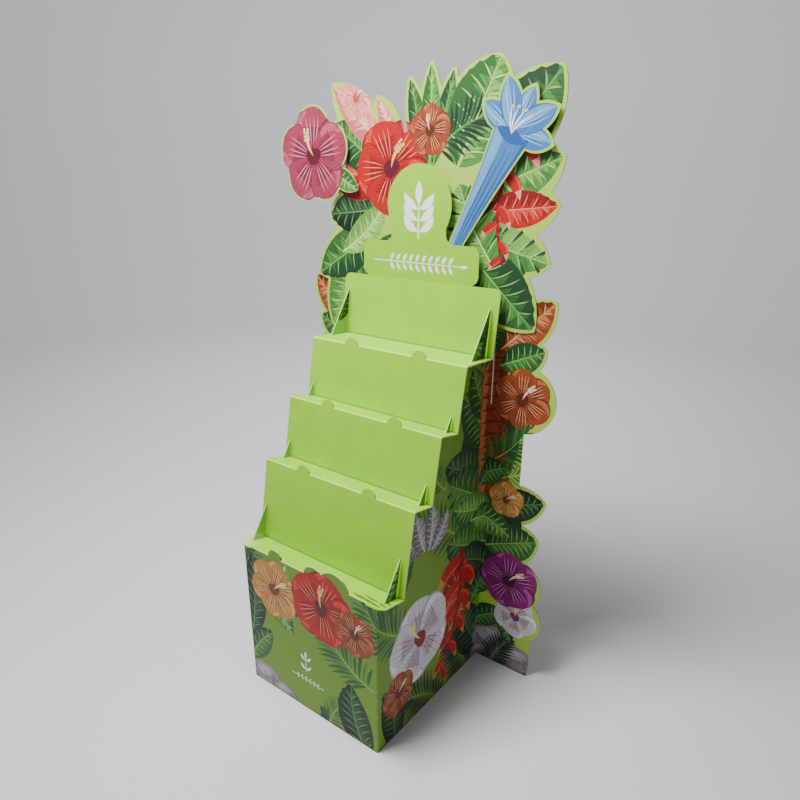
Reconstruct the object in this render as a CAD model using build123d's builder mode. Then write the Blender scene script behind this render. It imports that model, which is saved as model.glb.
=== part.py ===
"""Cardboard floor display with four stepped ledges, a die-cut header and wings, all of corrugated board.

Millimetres. The front faces -Y, +X is to the viewer's right and +Z is up. The origin is the middle of the
front panel's bottom edge, on the floor.
"""

import os
from math import cos, radians, tan

from build123d import *

# Board and fits
BOARD = 3.0
FOLD_OUTER = 4.0
FOLD_INNER = 1.0
GLUE_LINE = 0.2
SEAT_GAP = 0.2
SLOT_GAP = 0.4

# Body
BODY_WIDTH = 505.0
FRONT_HEIGHT = 487.0

# Steps, from the lowest ledge to the riser below the sign
LEDGE_DEPTHS = (84.0, 78.0, 78.0, 132.0)
LEDGE_DROPS = (10.5, 10.5, 10.5, 3.0)
RISER_HEIGHTS = (243.0, 186.0, 178.0, 184.0)
RISER_LEANS = (10.5, 10.5, 10.5, 8.0)
LEDGE_OVERHANG = 21.0
RISER_CORNER = 18.0
FLAP_LENGTH = 40.0
FLAP_SLIT = 2.0
EAR_WIDTH = 54.0
EAR_PROUD = 4.0
EAR_CORNER = 24.0

# Half-round stops along the ledge fronts
STOP_SPACING = 242.0
STOP_RADIUS = 25.0
STOP_RISE = 18.0
FRONT_STOP_RISE = 26.0

# Petal crest on the front panel: distance from the middle, radius, rise above the panel's edge
CREST_LOBES = ((32.0, 38.0, 30.0), (106.0, 55.0, 40.0))

# Fins on the side panels, one for each ledge: length along the ledge, height along the riser
FIN_BASES = (48.0, 27.0, 20.0, 71.0)
FIN_HEIGHTS = (109.0, 54.0, 42.0, 135.0)
FIN_TIP = 3.0
FIN_SETBACK = 5.4

# Sign plate above the last riser
SIGN_WIDTH = 400.0
SIGN_BASE_HEIGHT = 104.0
SIGN_BASE_CORNER = 26.0
SIGN_NECK_WIDTH = 184.0
SIGN_NECK_SWEEP = 26.0
SIGN_ARCH_RADIUS = 108.0
SIGN_HEIGHT = 312.0

# Header, cut-outs and back: how far they stand apart and overlap
SIGN_CLEARANCE = 3.6
SPACER_DEPTH = 8.0
TONGUE_PROUD = 3.0
TONGUE_DEPTH = 327.0
BACK_LAP = 78.0
BACK_HEIGHT = 1000.0
BORDER = 8.0

# Leaves of the header outline: stalk, tip and width, measured from the middle of the sign's crease
HEADER_HEART = (0.0, 150.0)
HEADER_HEART_RADIUS = 240.0
HEADER_LEAVES = (
    ((-190.0, 110.0), (-348.0, -172.0), 165.0),
    ((-160.0, 130.0), (-398.0, -12.0), 140.0),
    ((-140.0, 190.0), (-345.0, 168.0), 130.0),
    ((-130.0, 270.0), (-345.0, 296.0), 150.0),
    ((-150.0, 300.0), (-322.0, 420.0), 130.0),
    ((-120.0, 330.0), (-322.0, 520.0), 118.0),
    ((-80.0, 330.0), (-158.0, 480.0), 74.0),
    ((10.0, 300.0), (-46.0, 518.0), 62.0),
    ((20.0, 300.0), (22.0, 547.0), 66.0),
    ((30.0, 300.0), (92.0, 528.0), 62.0),
    ((110.0, 300.0), (222.0, 547.0), 190.0),
    ((190.0, 290.0), (384.0, 512.0), 170.0),
    ((190.0, 240.0), (404.0, 322.0), 150.0),
    ((190.0, 190.0), (402.0, 212.0), 130.0),
    ((160.0, 130.0), (390.0, 72.0), 132.0),
    ((130.0, 110.0), (362.0, -98.0), 165.0),
)

# Flower cut-out on the left, measured from the crease
FLOWER_MIDDLE = (-402.0, 335.0)
PETAL_COUNT = 5
PETAL_RADIUS = 70.0
PETAL_REACH = 72.0
FLOWER_LEAF = ((-340.0, 300.0), (-226.0, 240.0), 62.0)

# Trumpet flower cut-out on the right, measured from the crease
TRUMPET_FOOT = (100.0, 70.0)
TRUMPET_HEADING = 61.0
TRUMPET_LENGTH = 356.0
TRUMPET_FOOT_WIDTH = 40.0
TRUMPET_WAIST_WIDTH = 66.0
TRUMPET_MOUTH_WIDTH = 112.0

# Petals round the trumpet's mouth: turn from its heading, length, width
TRUMPET_PETALS = (
    (-78.0, 118.0, 64.0),
    (-38.0, 132.0, 68.0),
    (0.0, 116.0, 62.0),
    (38.0, 132.0, 68.0),
    (78.0, 118.0, 64.0),
)

# Pads behind the cut-outs, measured from the crease
PAD_WIDTH = 36.0
PAD_HEIGHT = 46.0
LEFT_PADS = ((-294.0, 308.0), (-296.0, 384.0))
RIGHT_PADS = ((206.0, 262.0), (282.0, 398.0))

# Wing outline: leaves as on the header and round blooms, measured from the back fold and the floor
WING_STRIP = 100.0
WING_TOP = 1120.0
WING_FOOT_WIDTH = 188.0
WING_FOOT_HEIGHT = 170.0
WING_FOOT_CORNER = 24.0
WING_LEAVES = (
    ((10.0, 425.0), (176.0, 492.0), 130.0),
    ((10.0, 560.0), (188.0, 622.0), 112.0),
    ((20.0, 1004.0), (150.0, 1062.0), 92.0),
    ((20.0, 1050.0), (166.0, 1190.0), 108.0),
)
WING_BLOOMS = (((130.0, 205.0), 78.0), ((118.0, 326.0), 80.0), ((96.0, 918.0), 92.0))


def leaf_sides(stalk, tip, width):
    """Draw a pointed leaf: two arcs from stalk to tip that bulge by half the width."""
    start = Vector(*stalk)
    end = Vector(*tip)
    middle = (start + end) / 2
    bulge = (end - start).normalized().rotate(Axis.Z, 90) * width / 2
    ThreePointArc(start, middle + bulge, end)
    ThreePointArc(end, middle - bulge, start)


def below_sheet(before, corner, after, gap):
    """A fold's corner on the underside of the stepped sheet and a gap below it, in (Y, Z)."""
    normal_before = (corner - before).normalized().rotate(Axis.Z, -90)
    normal_after = (after - corner).normalized().rotate(Axis.Z, -90)
    mitre = (BOARD + gap) / (1 + normal_before.dot(normal_after))
    return corner + (normal_before + normal_after) * mitre


def ledge_plane(fold, drop):
    """A plane on a ledge: X along the fold, Y towards the back, Z out of the ledge."""
    normal = Vector(0, 0, 1).rotate(Axis.X, -drop)
    return Plane(origin=(0, fold.X, fold.Y), x_dir=(1, 0, 0), z_dir=normal)


def riser_plane(fold, lean):
    """A plane on a riser: X along the fold, Y up the riser, Z towards the viewer."""
    normal = Vector(0, -1, 0).rotate(Axis.X, -lean)
    return Plane(origin=(0, fold.X, fold.Y), x_dir=(1, 0, 0), z_dir=normal)


def upright_plane(across, depth, height):
    """An upright plane that faces the viewer: X across, Y up, Z towards the viewer."""
    return Plane(origin=(across, depth, height), x_dir=(1, 0, 0), z_dir=(0, -1, 0))


# Fold line of the steps in (Y, Z): each ledge runs back and down, each riser up and back
front_face = -BOARD / 2
flap_front = front_face + BOARD + GLUE_LINE
folds = [Vector(flap_front, FRONT_HEIGHT)]
for depth, drop, rise, lean in zip(LEDGE_DEPTHS, LEDGE_DROPS, RISER_HEIGHTS, RISER_LEANS):
    folds.append(folds[-1] + Vector(depth, 0).rotate(Axis.Z, -drop))
    folds.append(folds[-1] + Vector(0, rise).rotate(Axis.Z, -lean))
ledge_fronts = folds[0:-1:2]
ledge_backs = folds[1::2]
crease = folds[-1]
ledge_slope = tan(radians(LEDGE_DROPS[0]))
ear_reach = flap_front - front_face + EAR_PROUD
ear_front = folds[0] + Vector(-ear_reach, ear_reach * ledge_slope)

# Layers behind the sign, front to back
cutout_front = crease.X + BOARD + SIGN_CLEARANCE
spacer_front = cutout_front + BOARD
header_front = spacer_front + SPACER_DEPTH
wing_front = header_front + BOARD + SLOT_GAP
back_front = wing_front + BOARD + GLUE_LINE
slit_front = header_front - SLOT_GAP
slit_bottom = crease.Y - TONGUE_DEPTH - SLOT_GAP

half_body = BODY_WIDTH / 2
half_shelf = half_body + LEDGE_OVERHANG
ear_start = half_shelf - EAR_WIDTH
half_stop = STOP_SPACING / 2

# Body wrap: one sheet folded into the front, the stepped sides with their fins, and the wings
side_steps = [
    below_sheet(before, corner, after, SEAT_GAP)
    for before, corner, after in zip(folds[:-2], folds[1:-1], folds[2:])
]
side_lead = side_steps[0].X - front_face
side_front = side_steps[0] + Vector(-side_lead, side_lead * ledge_slope)
side_line = [
    Vector(front_face, 0),
    side_front,
    *side_steps,
    Vector(slit_front, side_steps[-1].Y),
    Vector(slit_front, slit_bottom),
    Vector(wing_front, slit_bottom),
    Vector(wing_front, 0),
]
side_corners = [FOLD_OUTER if corner in side_steps[1::2] else 0 for corner in side_line]
ear_notch = BOARD / cos(radians(LEDGE_DROPS[0])) + SEAT_GAP

with BuildPart() as body_wrap:
    with BuildSketch(Plane.YZ.offset(half_body)):
        with BuildLine():
            FilletPolyline(*side_line, radius=side_corners, close=True)
        make_face()
        fins = zip(ledge_backs, LEDGE_DROPS, RISER_LEANS, FIN_BASES, FIN_HEIGHTS)
        for fold, drop, lean, base, height in fins:
            up = Vector(0, 1).rotate(Axis.Z, -lean)
            forward = Vector(-1, 0).rotate(Axis.Z, -drop)
            root = up * (-2 * BOARD)
            heel = fold + forward * FIN_SETBACK
            toe = heel + forward * base
            tip = heel + up * height
            tip_front = tip + forward * FIN_TIP
            with BuildLine():
                Polyline(toe, toe + root, heel + root, tip, tip_front, close=True)
            make_face()
    extrude(amount=-BOARD)
    with BuildSketch(upright_plane(half_body, wing_front, 0)):
        Rectangle(WING_STRIP, WING_TOP, align=Align.MIN)
        for stalk, tip, width in WING_LEAVES:
            with BuildLine():
                leaf_sides(stalk, tip, width)
            make_face()
        for middle, radius in WING_BLOOMS:
            with Locations(middle):
                Circle(radius)
        offset(amount=BORDER)
        with Locations((WING_FOOT_WIDTH / 2, WING_FOOT_HEIGHT / 2)):
            RectangleRounded(WING_FOOT_WIDTH, WING_FOOT_HEIGHT, WING_FOOT_CORNER)
        with Locations((-BOARD, 0)):
            Rectangle(WING_FOOT_WIDTH, WING_FOOT_HEIGHT / 2, align=Align.MIN)
            Rectangle(2 * WING_TOP, 2 * WING_TOP, align=(Align.MIN, Align.MIN), mode=Mode.INTERSECT)
    extrude(amount=-BOARD)
    mirror(about=Plane.YZ)
    with BuildSketch(upright_plane(0, front_face, 0)):
        with Locations((0, FRONT_HEIGHT / 2)):
            Rectangle(BODY_WIDTH, FRONT_HEIGHT)
        with Locations((-half_stop, FRONT_HEIGHT + FRONT_STOP_RISE - STOP_RADIUS)):
            Circle(STOP_RADIUS)
        for middle, radius, rise in CREST_LOBES:
            with Locations((middle, FRONT_HEIGHT + rise - radius)):
                Circle(radius)
        with Locations((-half_shelf, FRONT_HEIGHT), (half_shelf, FRONT_HEIGHT)):
            Rectangle(2 * (EAR_WIDTH + FLAP_SLIT), 2 * ear_notch, mode=Mode.SUBTRACT)
    extrude(amount=-BOARD)
    corner_folds = body_wrap.edges().filter_by(Axis.Z).filter_by_position(Axis.Y, front_face, front_face)
    fillet(corner_folds.filter_by(lambda edge: abs(edge.center().X) > half_body - SEAT_GAP), FOLD_OUTER)
body_wrap.part.label = "body_wrap"

# Sign plate outline, measured from the middle of the crease
with BuildSketch() as sign_outline:
    RectangleRounded(SIGN_WIDTH, SIGN_BASE_HEIGHT, SIGN_BASE_CORNER, align=(Align.CENTER, Align.MIN))
    Rectangle(SIGN_NECK_WIDTH, SIGN_HEIGHT - SIGN_ARCH_RADIUS, align=(Align.CENTER, Align.MIN))
    with Locations((0, SIGN_HEIGHT - SIGN_ARCH_RADIUS)):
        Circle(SIGN_ARCH_RADIUS)
    corners = sign_outline.vertices()
    neck_foot = corners.filter_by(lambda corner: abs(corner.Y - SIGN_BASE_HEIGHT) < BOARD / 2)
    fillet(neck_foot.filter_by(lambda corner: abs(corner.X) < SIGN_NECK_WIDTH), SIGN_NECK_SWEEP)

# Shelf sheet: one strip folded into ledges, risers and the sign plate, with a glue flap behind the front
sheet_line = [ear_front, *folds[1:], crease + Vector(0, SIGN_HEIGHT)]
sheet_folds = [FOLD_INNER if fold in ledge_backs else FOLD_OUTER for fold in folds[1:]]
flap_line = [folds[0] - Vector(0, FLAP_LENGTH), folds[0], (folds[0] + folds[1]) / 2]
stop_sink = STOP_RADIUS - STOP_RISE
stop_places = ((-half_stop, -stop_sink), (half_stop, -stop_sink))

with BuildPart() as shelf_sheet:
    with BuildSketch(Plane.YZ):
        with BuildLine():
            FilletPolyline(*sheet_line, radius=sheet_folds)
            offset(amount=BOARD, side=Side.RIGHT)
        make_face()
    extrude(amount=half_shelf, both=True)
    board_edges = shelf_sheet.edges().filter_by(lambda edge: abs(edge.length - BOARD) < SEAT_GAP)
    fillet(board_edges.group_by(Axis.Y)[0], EAR_CORNER)

    # Glue flap between the ears
    with BuildSketch(ledge_plane(folds[0], LEDGE_DROPS[0])):
        with Locations((0, FOLD_OUTER + BOARD)):
            Rectangle(2 * ear_start, 2 * ear_reach + FOLD_OUTER, align=(Align.CENTER, Align.MAX))
    extrude(amount=2 * BOARD, both=True, mode=Mode.SUBTRACT)
    with BuildSketch(Plane.YZ):
        with BuildLine():
            FilletPolyline(*flap_line, radius=FOLD_OUTER)
            offset(amount=BOARD, side=Side.RIGHT)
        make_face()
    extrude(amount=ear_start - FLAP_SLIT, both=True)

    # Half-round stops: cut from the ledge, left standing in the plane of the riser below it
    with BuildSketch(ledge_plane(folds[0], LEDGE_DROPS[0])):
        with Locations(*stop_places):
            Circle(STOP_RADIUS)
    extrude(amount=-FLAP_LENGTH - 2 * BOARD, mode=Mode.SUBTRACT)
    for fold, drop, lean in zip(ledge_fronts[1:], LEDGE_DROPS[1:], RISER_LEANS[:-1]):
        with BuildSketch(ledge_plane(fold, drop)):
            with Locations(*stop_places):
                Circle(STOP_RADIUS)
        extrude(amount=-BOARD - FOLD_INNER, mode=Mode.SUBTRACT)
        with BuildSketch(riser_plane(fold, lean)):
            with Locations(*stop_places):
                Circle(STOP_RADIUS)
        extrude(amount=-BOARD)

    # Slots for the fins
    slot_side = half_body - BOARD / 2
    slot_back = SLOT_GAP - FIN_SETBACK
    for fold, drop, base in zip(ledge_backs, LEDGE_DROPS, FIN_BASES):
        with BuildSketch(ledge_plane(fold, drop)):
            with Locations((-slot_side, slot_back), (slot_side, slot_back)):
                Rectangle(BOARD + 2 * SLOT_GAP, base + 2 * SLOT_GAP, align=(Align.CENTER, Align.MAX))
        extrude(amount=-BOARD - FOLD_OUTER, mode=Mode.SUBTRACT)

    # Die-cut outline of the top riser and the sign plate
    with BuildSketch(upright_plane(0, crease.X, crease.Y)):
        with Locations((0, -2 * RISER_CORNER)):
            Rectangle(3 * half_shelf, SIGN_HEIGHT + 3 * RISER_CORNER, align=(Align.CENTER, Align.MIN))
        RectangleRounded(
            2 * half_shelf,
            4 * RISER_CORNER,
            RISER_CORNER,
            align=(Align.CENTER, Align.MAX),
            mode=Mode.SUBTRACT,
        )
        add(sign_outline.sketch, mode=Mode.SUBTRACT)
    extrude(amount=2 * RISER_CORNER, both=True, mode=Mode.SUBTRACT)
shelf_sheet.part.label = "shelf_sheet"

# Header board: leaves round a heart, with a border, and the tongue that slides into the slits
with BuildPart() as header_board:
    with BuildSketch(upright_plane(0, header_front, crease.Y)):
        with Locations(HEADER_HEART):
            Circle(HEADER_HEART_RADIUS)
        for stalk, tip, width in HEADER_LEAVES:
            with BuildLine():
                leaf_sides(stalk, tip, width)
            make_face()
        offset(amount=BORDER)
        with Locations(HEADER_HEART):
            Rectangle(
                BODY_WIDTH + 2 * TONGUE_PROUD,
                HEADER_HEART[1] + TONGUE_DEPTH,
                align=(Align.CENTER, Align.MAX),
            )
    extrude(amount=-BOARD)
header_board.part.label = "header_board"

# Flower cut-out: rounded petals round a middle, with one leaf
with BuildPart() as left_cutout:
    with BuildSketch(upright_plane(0, cutout_front, crease.Y)):
        with Locations(FLOWER_MIDDLE):
            Circle(PETAL_REACH)
            with PolarLocations(PETAL_REACH, PETAL_COUNT, start_angle=90):
                Circle(PETAL_RADIUS)
        with BuildLine():
            leaf_sides(*FLOWER_LEAF)
        make_face()
    extrude(amount=-BOARD)
left_cutout.part.label = "left_cutout"

# Trumpet flower cut-out: a tube that flares from its foot to a mouth with pointed petals
trumpet_plane = Plane(
    origin=(TRUMPET_FOOT[0], cutout_front, crease.Y + TRUMPET_FOOT[1]),
    x_dir=Vector(1, 0, 0).rotate(Axis.Y, -TRUMPET_HEADING),
    z_dir=(0, -1, 0),
)
with BuildPart() as right_cutout:
    with BuildSketch(trumpet_plane):
        with BuildLine():
            flare = ThreePointArc(
                (0, TRUMPET_FOOT_WIDTH / 2),
                (TRUMPET_LENGTH / 2, TRUMPET_WAIST_WIDTH / 2),
                (TRUMPET_LENGTH, TRUMPET_MOUTH_WIDTH / 2),
            )
            mirror(flare, about=Plane.XZ)
            Line((0, -TRUMPET_FOOT_WIDTH / 2), (0, TRUMPET_FOOT_WIDTH / 2))
            Line((TRUMPET_LENGTH, -TRUMPET_MOUTH_WIDTH / 2), (TRUMPET_LENGTH, TRUMPET_MOUTH_WIDTH / 2))
        make_face()
        mouth = Vector(TRUMPET_LENGTH, 0)
        for turn, length, width in TRUMPET_PETALS:
            with BuildLine():
                leaf_sides(mouth, mouth + Vector(length, 0).rotate(Axis.Z, turn), width)
            make_face()
    extrude(amount=-BOARD)
right_cutout.part.label = "right_cutout"

# Spacer pads between each cut-out and the header
with BuildPart() as left_spacers:
    with BuildSketch(upright_plane(0, spacer_front, crease.Y)):
        with Locations(*LEFT_PADS):
            Rectangle(PAD_WIDTH, PAD_HEIGHT)
    extrude(amount=-SPACER_DEPTH)
left_spacers.part.label = "left_spacers"

with BuildPart() as right_spacers:
    with BuildSketch(upright_plane(0, spacer_front, crease.Y)):
        with Locations(*RIGHT_PADS):
            Rectangle(PAD_WIDTH, PAD_HEIGHT)
    extrude(amount=-SPACER_DEPTH)
right_spacers.part.label = "right_spacers"

# Back panel glued across the rear of the wings
with BuildPart() as back_panel:
    with BuildSketch(upright_plane(0, back_front, 0)):
        Rectangle(BODY_WIDTH + 2 * BACK_LAP, BACK_HEIGHT, align=(Align.CENTER, Align.MIN))
    extrude(amount=-BOARD)
back_panel.part.label = "back_panel"

os.makedirs("parts", exist_ok=True)
export_step(body_wrap.part, "parts/body_wrap.step")
export_step(shelf_sheet.part, "parts/shelf_sheet.step")
export_step(header_board.part, "parts/header_board.step")
export_step(left_cutout.part, "parts/left_cutout.step")
export_step(right_cutout.part, "parts/right_cutout.step")
export_step(left_spacers.part, "parts/left_spacers.step")
export_step(right_spacers.part, "parts/right_spacers.step")
export_step(back_panel.part, "parts/back_panel.step")
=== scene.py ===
"""Looks of a cardboard floor display: printed liners on corrugated board, a floor, light and a camera.

Artwork is laid out in millimetres on flat sheets, as a printer would, and carried onto the board's panels in
metres.
"""

import logging
import math
from abc import ABC, abstractmethod
from collections.abc import Callable, Sequence
from dataclasses import dataclass, field
from enum import Enum
from functools import partial

import bmesh
import bpy
import numpy as np
from mathutils.geometry import delaunay_2d_cdt
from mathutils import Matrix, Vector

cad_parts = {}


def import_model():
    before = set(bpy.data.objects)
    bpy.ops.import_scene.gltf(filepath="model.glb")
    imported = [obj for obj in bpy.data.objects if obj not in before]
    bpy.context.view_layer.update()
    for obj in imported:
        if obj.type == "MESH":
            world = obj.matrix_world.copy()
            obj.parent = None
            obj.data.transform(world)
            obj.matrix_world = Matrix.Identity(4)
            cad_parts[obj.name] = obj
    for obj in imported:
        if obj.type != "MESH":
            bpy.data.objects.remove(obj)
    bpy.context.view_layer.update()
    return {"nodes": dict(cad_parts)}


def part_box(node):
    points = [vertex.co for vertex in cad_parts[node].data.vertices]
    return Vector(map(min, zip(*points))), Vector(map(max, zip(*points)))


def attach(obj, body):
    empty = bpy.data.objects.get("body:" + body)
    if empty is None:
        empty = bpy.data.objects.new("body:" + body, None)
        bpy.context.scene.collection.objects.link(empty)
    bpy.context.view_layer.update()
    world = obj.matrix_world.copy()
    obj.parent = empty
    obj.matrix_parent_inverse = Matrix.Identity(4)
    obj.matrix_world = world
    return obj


LOG = logging.getLogger("display")
Point = tuple[float, float]
Place = tuple[float, float, float]
Socket = bpy.types.NodeSocket
Adder = Callable[..., bpy.types.NodeOutputs]

# One millimetre in metres. Thickness of the board, spacing of its flutes and lift of the liners, all in
# millimetres.
MM = 0.001
BOARD = 3.0
FLUTE = 7.0
LIFT = 0.2

# Plain inks: unprinted paper, the ground of the body, the header's and wings' border, the fins' inner faces.
WHITE = "#FFFFFF"
GROUND = "#6F9228"
BORDER_GROUND = "#A9CE4C"
FIN_GROUND = "#8CB65E"


def linear(colour: str) -> tuple[float, float, float, float]:
    """Turns an sRGB hex colour to linear light, by the standard's curve.

    Args:
        colour: six hex digits after a hash sign.

    Returns:
        Red, green, blue and an alpha of 1.
    """
    parts = [int(colour[place : place + 2], 16) / 255 for place in (1, 3, 5)]
    light = [part / 12.92 if part <= 0.04045 else ((part + 0.055) / 1.055) ** 2.4 for part in parts]
    return (*light, 1.0)


def add(
    tree: bpy.types.NodeTree, kind: str, feeds: dict | None = None, **settings: object
) -> bpy.types.NodeOutputs:
    """Adds one shader node with its settings and links.

    Args:
        tree: the material's node tree.
        kind: the node's type name after ShaderNode.
        feeds: for each input, by name or place, a socket to link or a value to set.
        settings: the node's own properties.

    Returns:
        The new node's outputs.
    """
    made = tree.nodes.new("ShaderNode" + kind)
    for name, value in settings.items():
        setattr(made, name, value)
    for place, value in (feeds or {}).items():
        if isinstance(value, Socket):
            tree.links.new(value, made.inputs[place])
        else:
            made.inputs[place].default_value = value
    return made.outputs


def blank_material(name: str) -> tuple[bpy.types.Material, Adder]:
    """Makes a material with an empty node tree.

    Args:
        name: the finish's name.

    Returns:
        The material, and the function that adds nodes to it.
    """
    made = bpy.data.materials.new(name)
    made.use_nodes = True
    made.node_tree.nodes.clear()
    return made, partial(add, made.node_tree)


class Pattern(Enum):
    """How the darker ink is worked into a patch of colour."""

    FLAT = 0
    VEINED = 1
    PETAL = 2
    MOTTLED = 3


@dataclass(frozen=True)
class InkSet:
    """The inks of one motif: body, shadow, highlight and fine lines, and a flower's throat and stamens."""

    base: str
    dark: str
    light: str
    line: str
    throat: str = ""
    stamen: str = ""


class Inks(Enum):
    """The ink sets of the print run."""

    LEAF = InkSet("#4F8A3A", "#2F5E2C", "#79B04E", "#B5DB7E")
    SHADE = InkSet("#37662F", "#23452A", "#4F8A3C", "#8CBC5C")
    NIGHT = InkSet("#263D2B", "#18291E", "#365A36", "#6C9A57")
    YOUNG = InkSet("#86BC48", "#5F9A3A", "#A8D766", "#D5EFA0")
    STONE = InkSet("#94898F", "#6A6068", "#B9B0B4", "#D6D0D2")
    BLUE = InkSet("#417AB4", "#2A5894", "#6C9FD0", "#A6C8E8")
    RED = InkSet("#B5241F", "#861A1C", "#DA463B", "#EE9072", "#5C1E2A", "#F0C46C")
    RUST = InkSet("#9A4728", "#6B2C1C", "#C07448", "#E2AC78", "#5A2A1C", "#F3E2B0")
    TAN = InkSet("#C8873F", "#9C5E2C", "#E4B26A", "#F5D49C", "#7A3726", "#F3E2B0")
    PINK = InkSet("#E09083", "#C46A60", "#F2B8A6", "#F9DACB", "#B5423F", "#F3E2B0")
    ROSE = InkSet("#9C3A50", "#742440", "#B85C6C", "#DE9AA0", "#5C1E2A", "#F0D98C")
    MAGENTA = InkSet("#8A2070", "#591850", "#B84A9C", "#DC90C6", "#3F1338", "#F3E2B0")
    LILAC = InkSet("#D8D2D8", "#A79DAC", "#F0ECEE", "#B5423F", "#8A2428", "#F0D98C")


@dataclass(frozen=True)
class Patch:
    """One closed shape of colour on a sheet, with the line that its pattern follows."""

    points: np.ndarray
    ink: str
    deep: str
    pattern: Pattern
    origin: np.ndarray
    heading: np.ndarray

    def flipped(self, about: float) -> "Patch":
        """Mirrors the patch left to right.

        Args:
            about: place of the upright mirror line on the sheet.

        Returns:
            The mirrored patch.
        """
        turn = np.array([-1.0, 1.0])
        shift = np.array([2 * about, 0.0])
        points = self.points * turn + shift
        origin = self.origin * turn + shift
        return Patch(points, self.ink, self.deep, self.pattern, origin, self.heading * turn)


@dataclass(frozen=True)
class Rib:
    """A bowed line from stalk to tip that carries a motif's profile."""

    stalk: Point
    tip: Point
    bow: float = 0.0

    @property
    def length(self) -> float:
        """Straight distance from stalk to tip."""
        return math.dist(self.stalk, self.tip)

    @property
    def heading(self) -> np.ndarray:
        """Unit vector from stalk to tip."""
        return (np.array(self.tip) - np.array(self.stalk)) / self.length

    @property
    def facing(self) -> float:
        """Angle of the heading, in radians."""
        return math.atan2(*self.heading[::-1])

    def at(self, along: np.ndarray, across: np.ndarray) -> np.ndarray:
        """Points beside the rib: stalk + t chord + 4 bow t (1 - t) left, then across on the curve's normal.

        Args:
            along: shares of the way from stalk to tip.
            across: distances to the left of the rib, in millimetres.

        Returns:
            One point for each pair, as rows.
        """
        chord = np.array(self.tip) - np.array(self.stalk)
        left = np.array([-chord[1], chord[0]])
        rise = 4 * self.bow * along * (1 - along)
        middle = np.array(self.stalk) + np.outer(along, chord) + np.outer(rise, left)
        slope = chord + np.outer(4 * self.bow * (1 - 2 * along), left)
        normal = np.stack([-slope[:, 1], slope[:, 0]], axis=1)
        normal /= np.linalg.norm(slope, axis=1, keepdims=True)
        return middle + normal * across[:, None]

    def spot(self, along: float, across: float = 0.0) -> Point:
        """One point beside the rib."""
        return tuple(self.at(np.array([along]), np.array([across]))[0])

    def band(
        self,
        along: np.ndarray,
        low: np.ndarray,
        high: np.ndarray,
        ink: str,
        deep: str | None = None,
        pattern: Pattern = Pattern.FLAT,
        least: float = 0.05,
    ) -> Patch:
        """The shape between two curves beside the rib.

        Args:
            along: shares of the way from stalk to tip.
            low: the right-hand curve's distances to the left of the rib.
            high: the left-hand curve's distances to the left of the rib.
            ink: body colour.
            deep: colour worked into it, or None for the same one.
            pattern: how it is worked in.
            least: points that follow each other more closely are left out, in millimetres.

        Returns:
            The patch.
        """
        points = np.concatenate([self.at(along, low), self.at(along[::-1], high[::-1])])
        apart = np.linalg.norm(points - np.roll(points, 1, axis=0), axis=1)
        return Patch(points[apart > least], ink, deep or ink, pattern, np.array(self.stalk), self.heading)

    def lens(self, width: float, ink: str, samples: int = 7) -> Patch:
        """A slim pointed shape along the rib: half width w / 2 sin(pi t).

        Args:
            width: greatest width.
            ink: its colour.
            samples: points along each side.

        Returns:
            The patch.
        """
        along = np.linspace(0, 1, samples)
        half = width / 2 * np.sin(np.pi * along)
        return self.band(along, -half, half, ink)

    def spine(self, half: float, ink: str, end: float = 1.0, taper: float = 0.8, samples: int = 9) -> Patch:
        """A midrib that narrows on its way: half width h (1 - taper t).

        Args:
            half: half width at the stalk.
            ink: its colour.
            end: share of the way at which it stops.
            taper: share of the width that is lost by the tip.
            samples: points along each side.

        Returns:
            The patch.
        """
        along = np.linspace(0, end, samples)
        thick = half * (1 - taper * along)
        return self.band(along, -thick, thick, ink)


def away(start: Point, turn: float, reach: float) -> Point:
    """The point at a distance from another one, in a direction given in radians."""
    return (start[0] + reach * math.cos(turn), start[1] + reach * math.sin(turn))


def arc_half(along: np.ndarray, length: float, width: float) -> np.ndarray:
    """Half width of a leaf with two arc sides: the height of a circle's arc over its chord.

    Args:
        along: shares of the way from stalk to tip.
        length: the chord.
        width: the leaf's width in the middle.

    Returns:
        The half width at each share.
    """
    bulge = width / 2
    radius = (length**2 / 4 + bulge**2) / (2 * bulge)
    return np.sqrt(radius**2 - (length * (along - 0.5)) ** 2) - (radius - bulge)


class Motif(ABC):
    """Something printed: a list of patches, the first one lowest."""

    @abstractmethod
    def patches(self) -> list[Patch]:
        """The patches from the lowest to the topmost."""


def drawn(motifs: Sequence[Motif]) -> list[Patch]:
    """All the patches of the motifs, the first motif lowest."""
    return [patch for motif in motifs for patch in motif.patches()]


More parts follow.
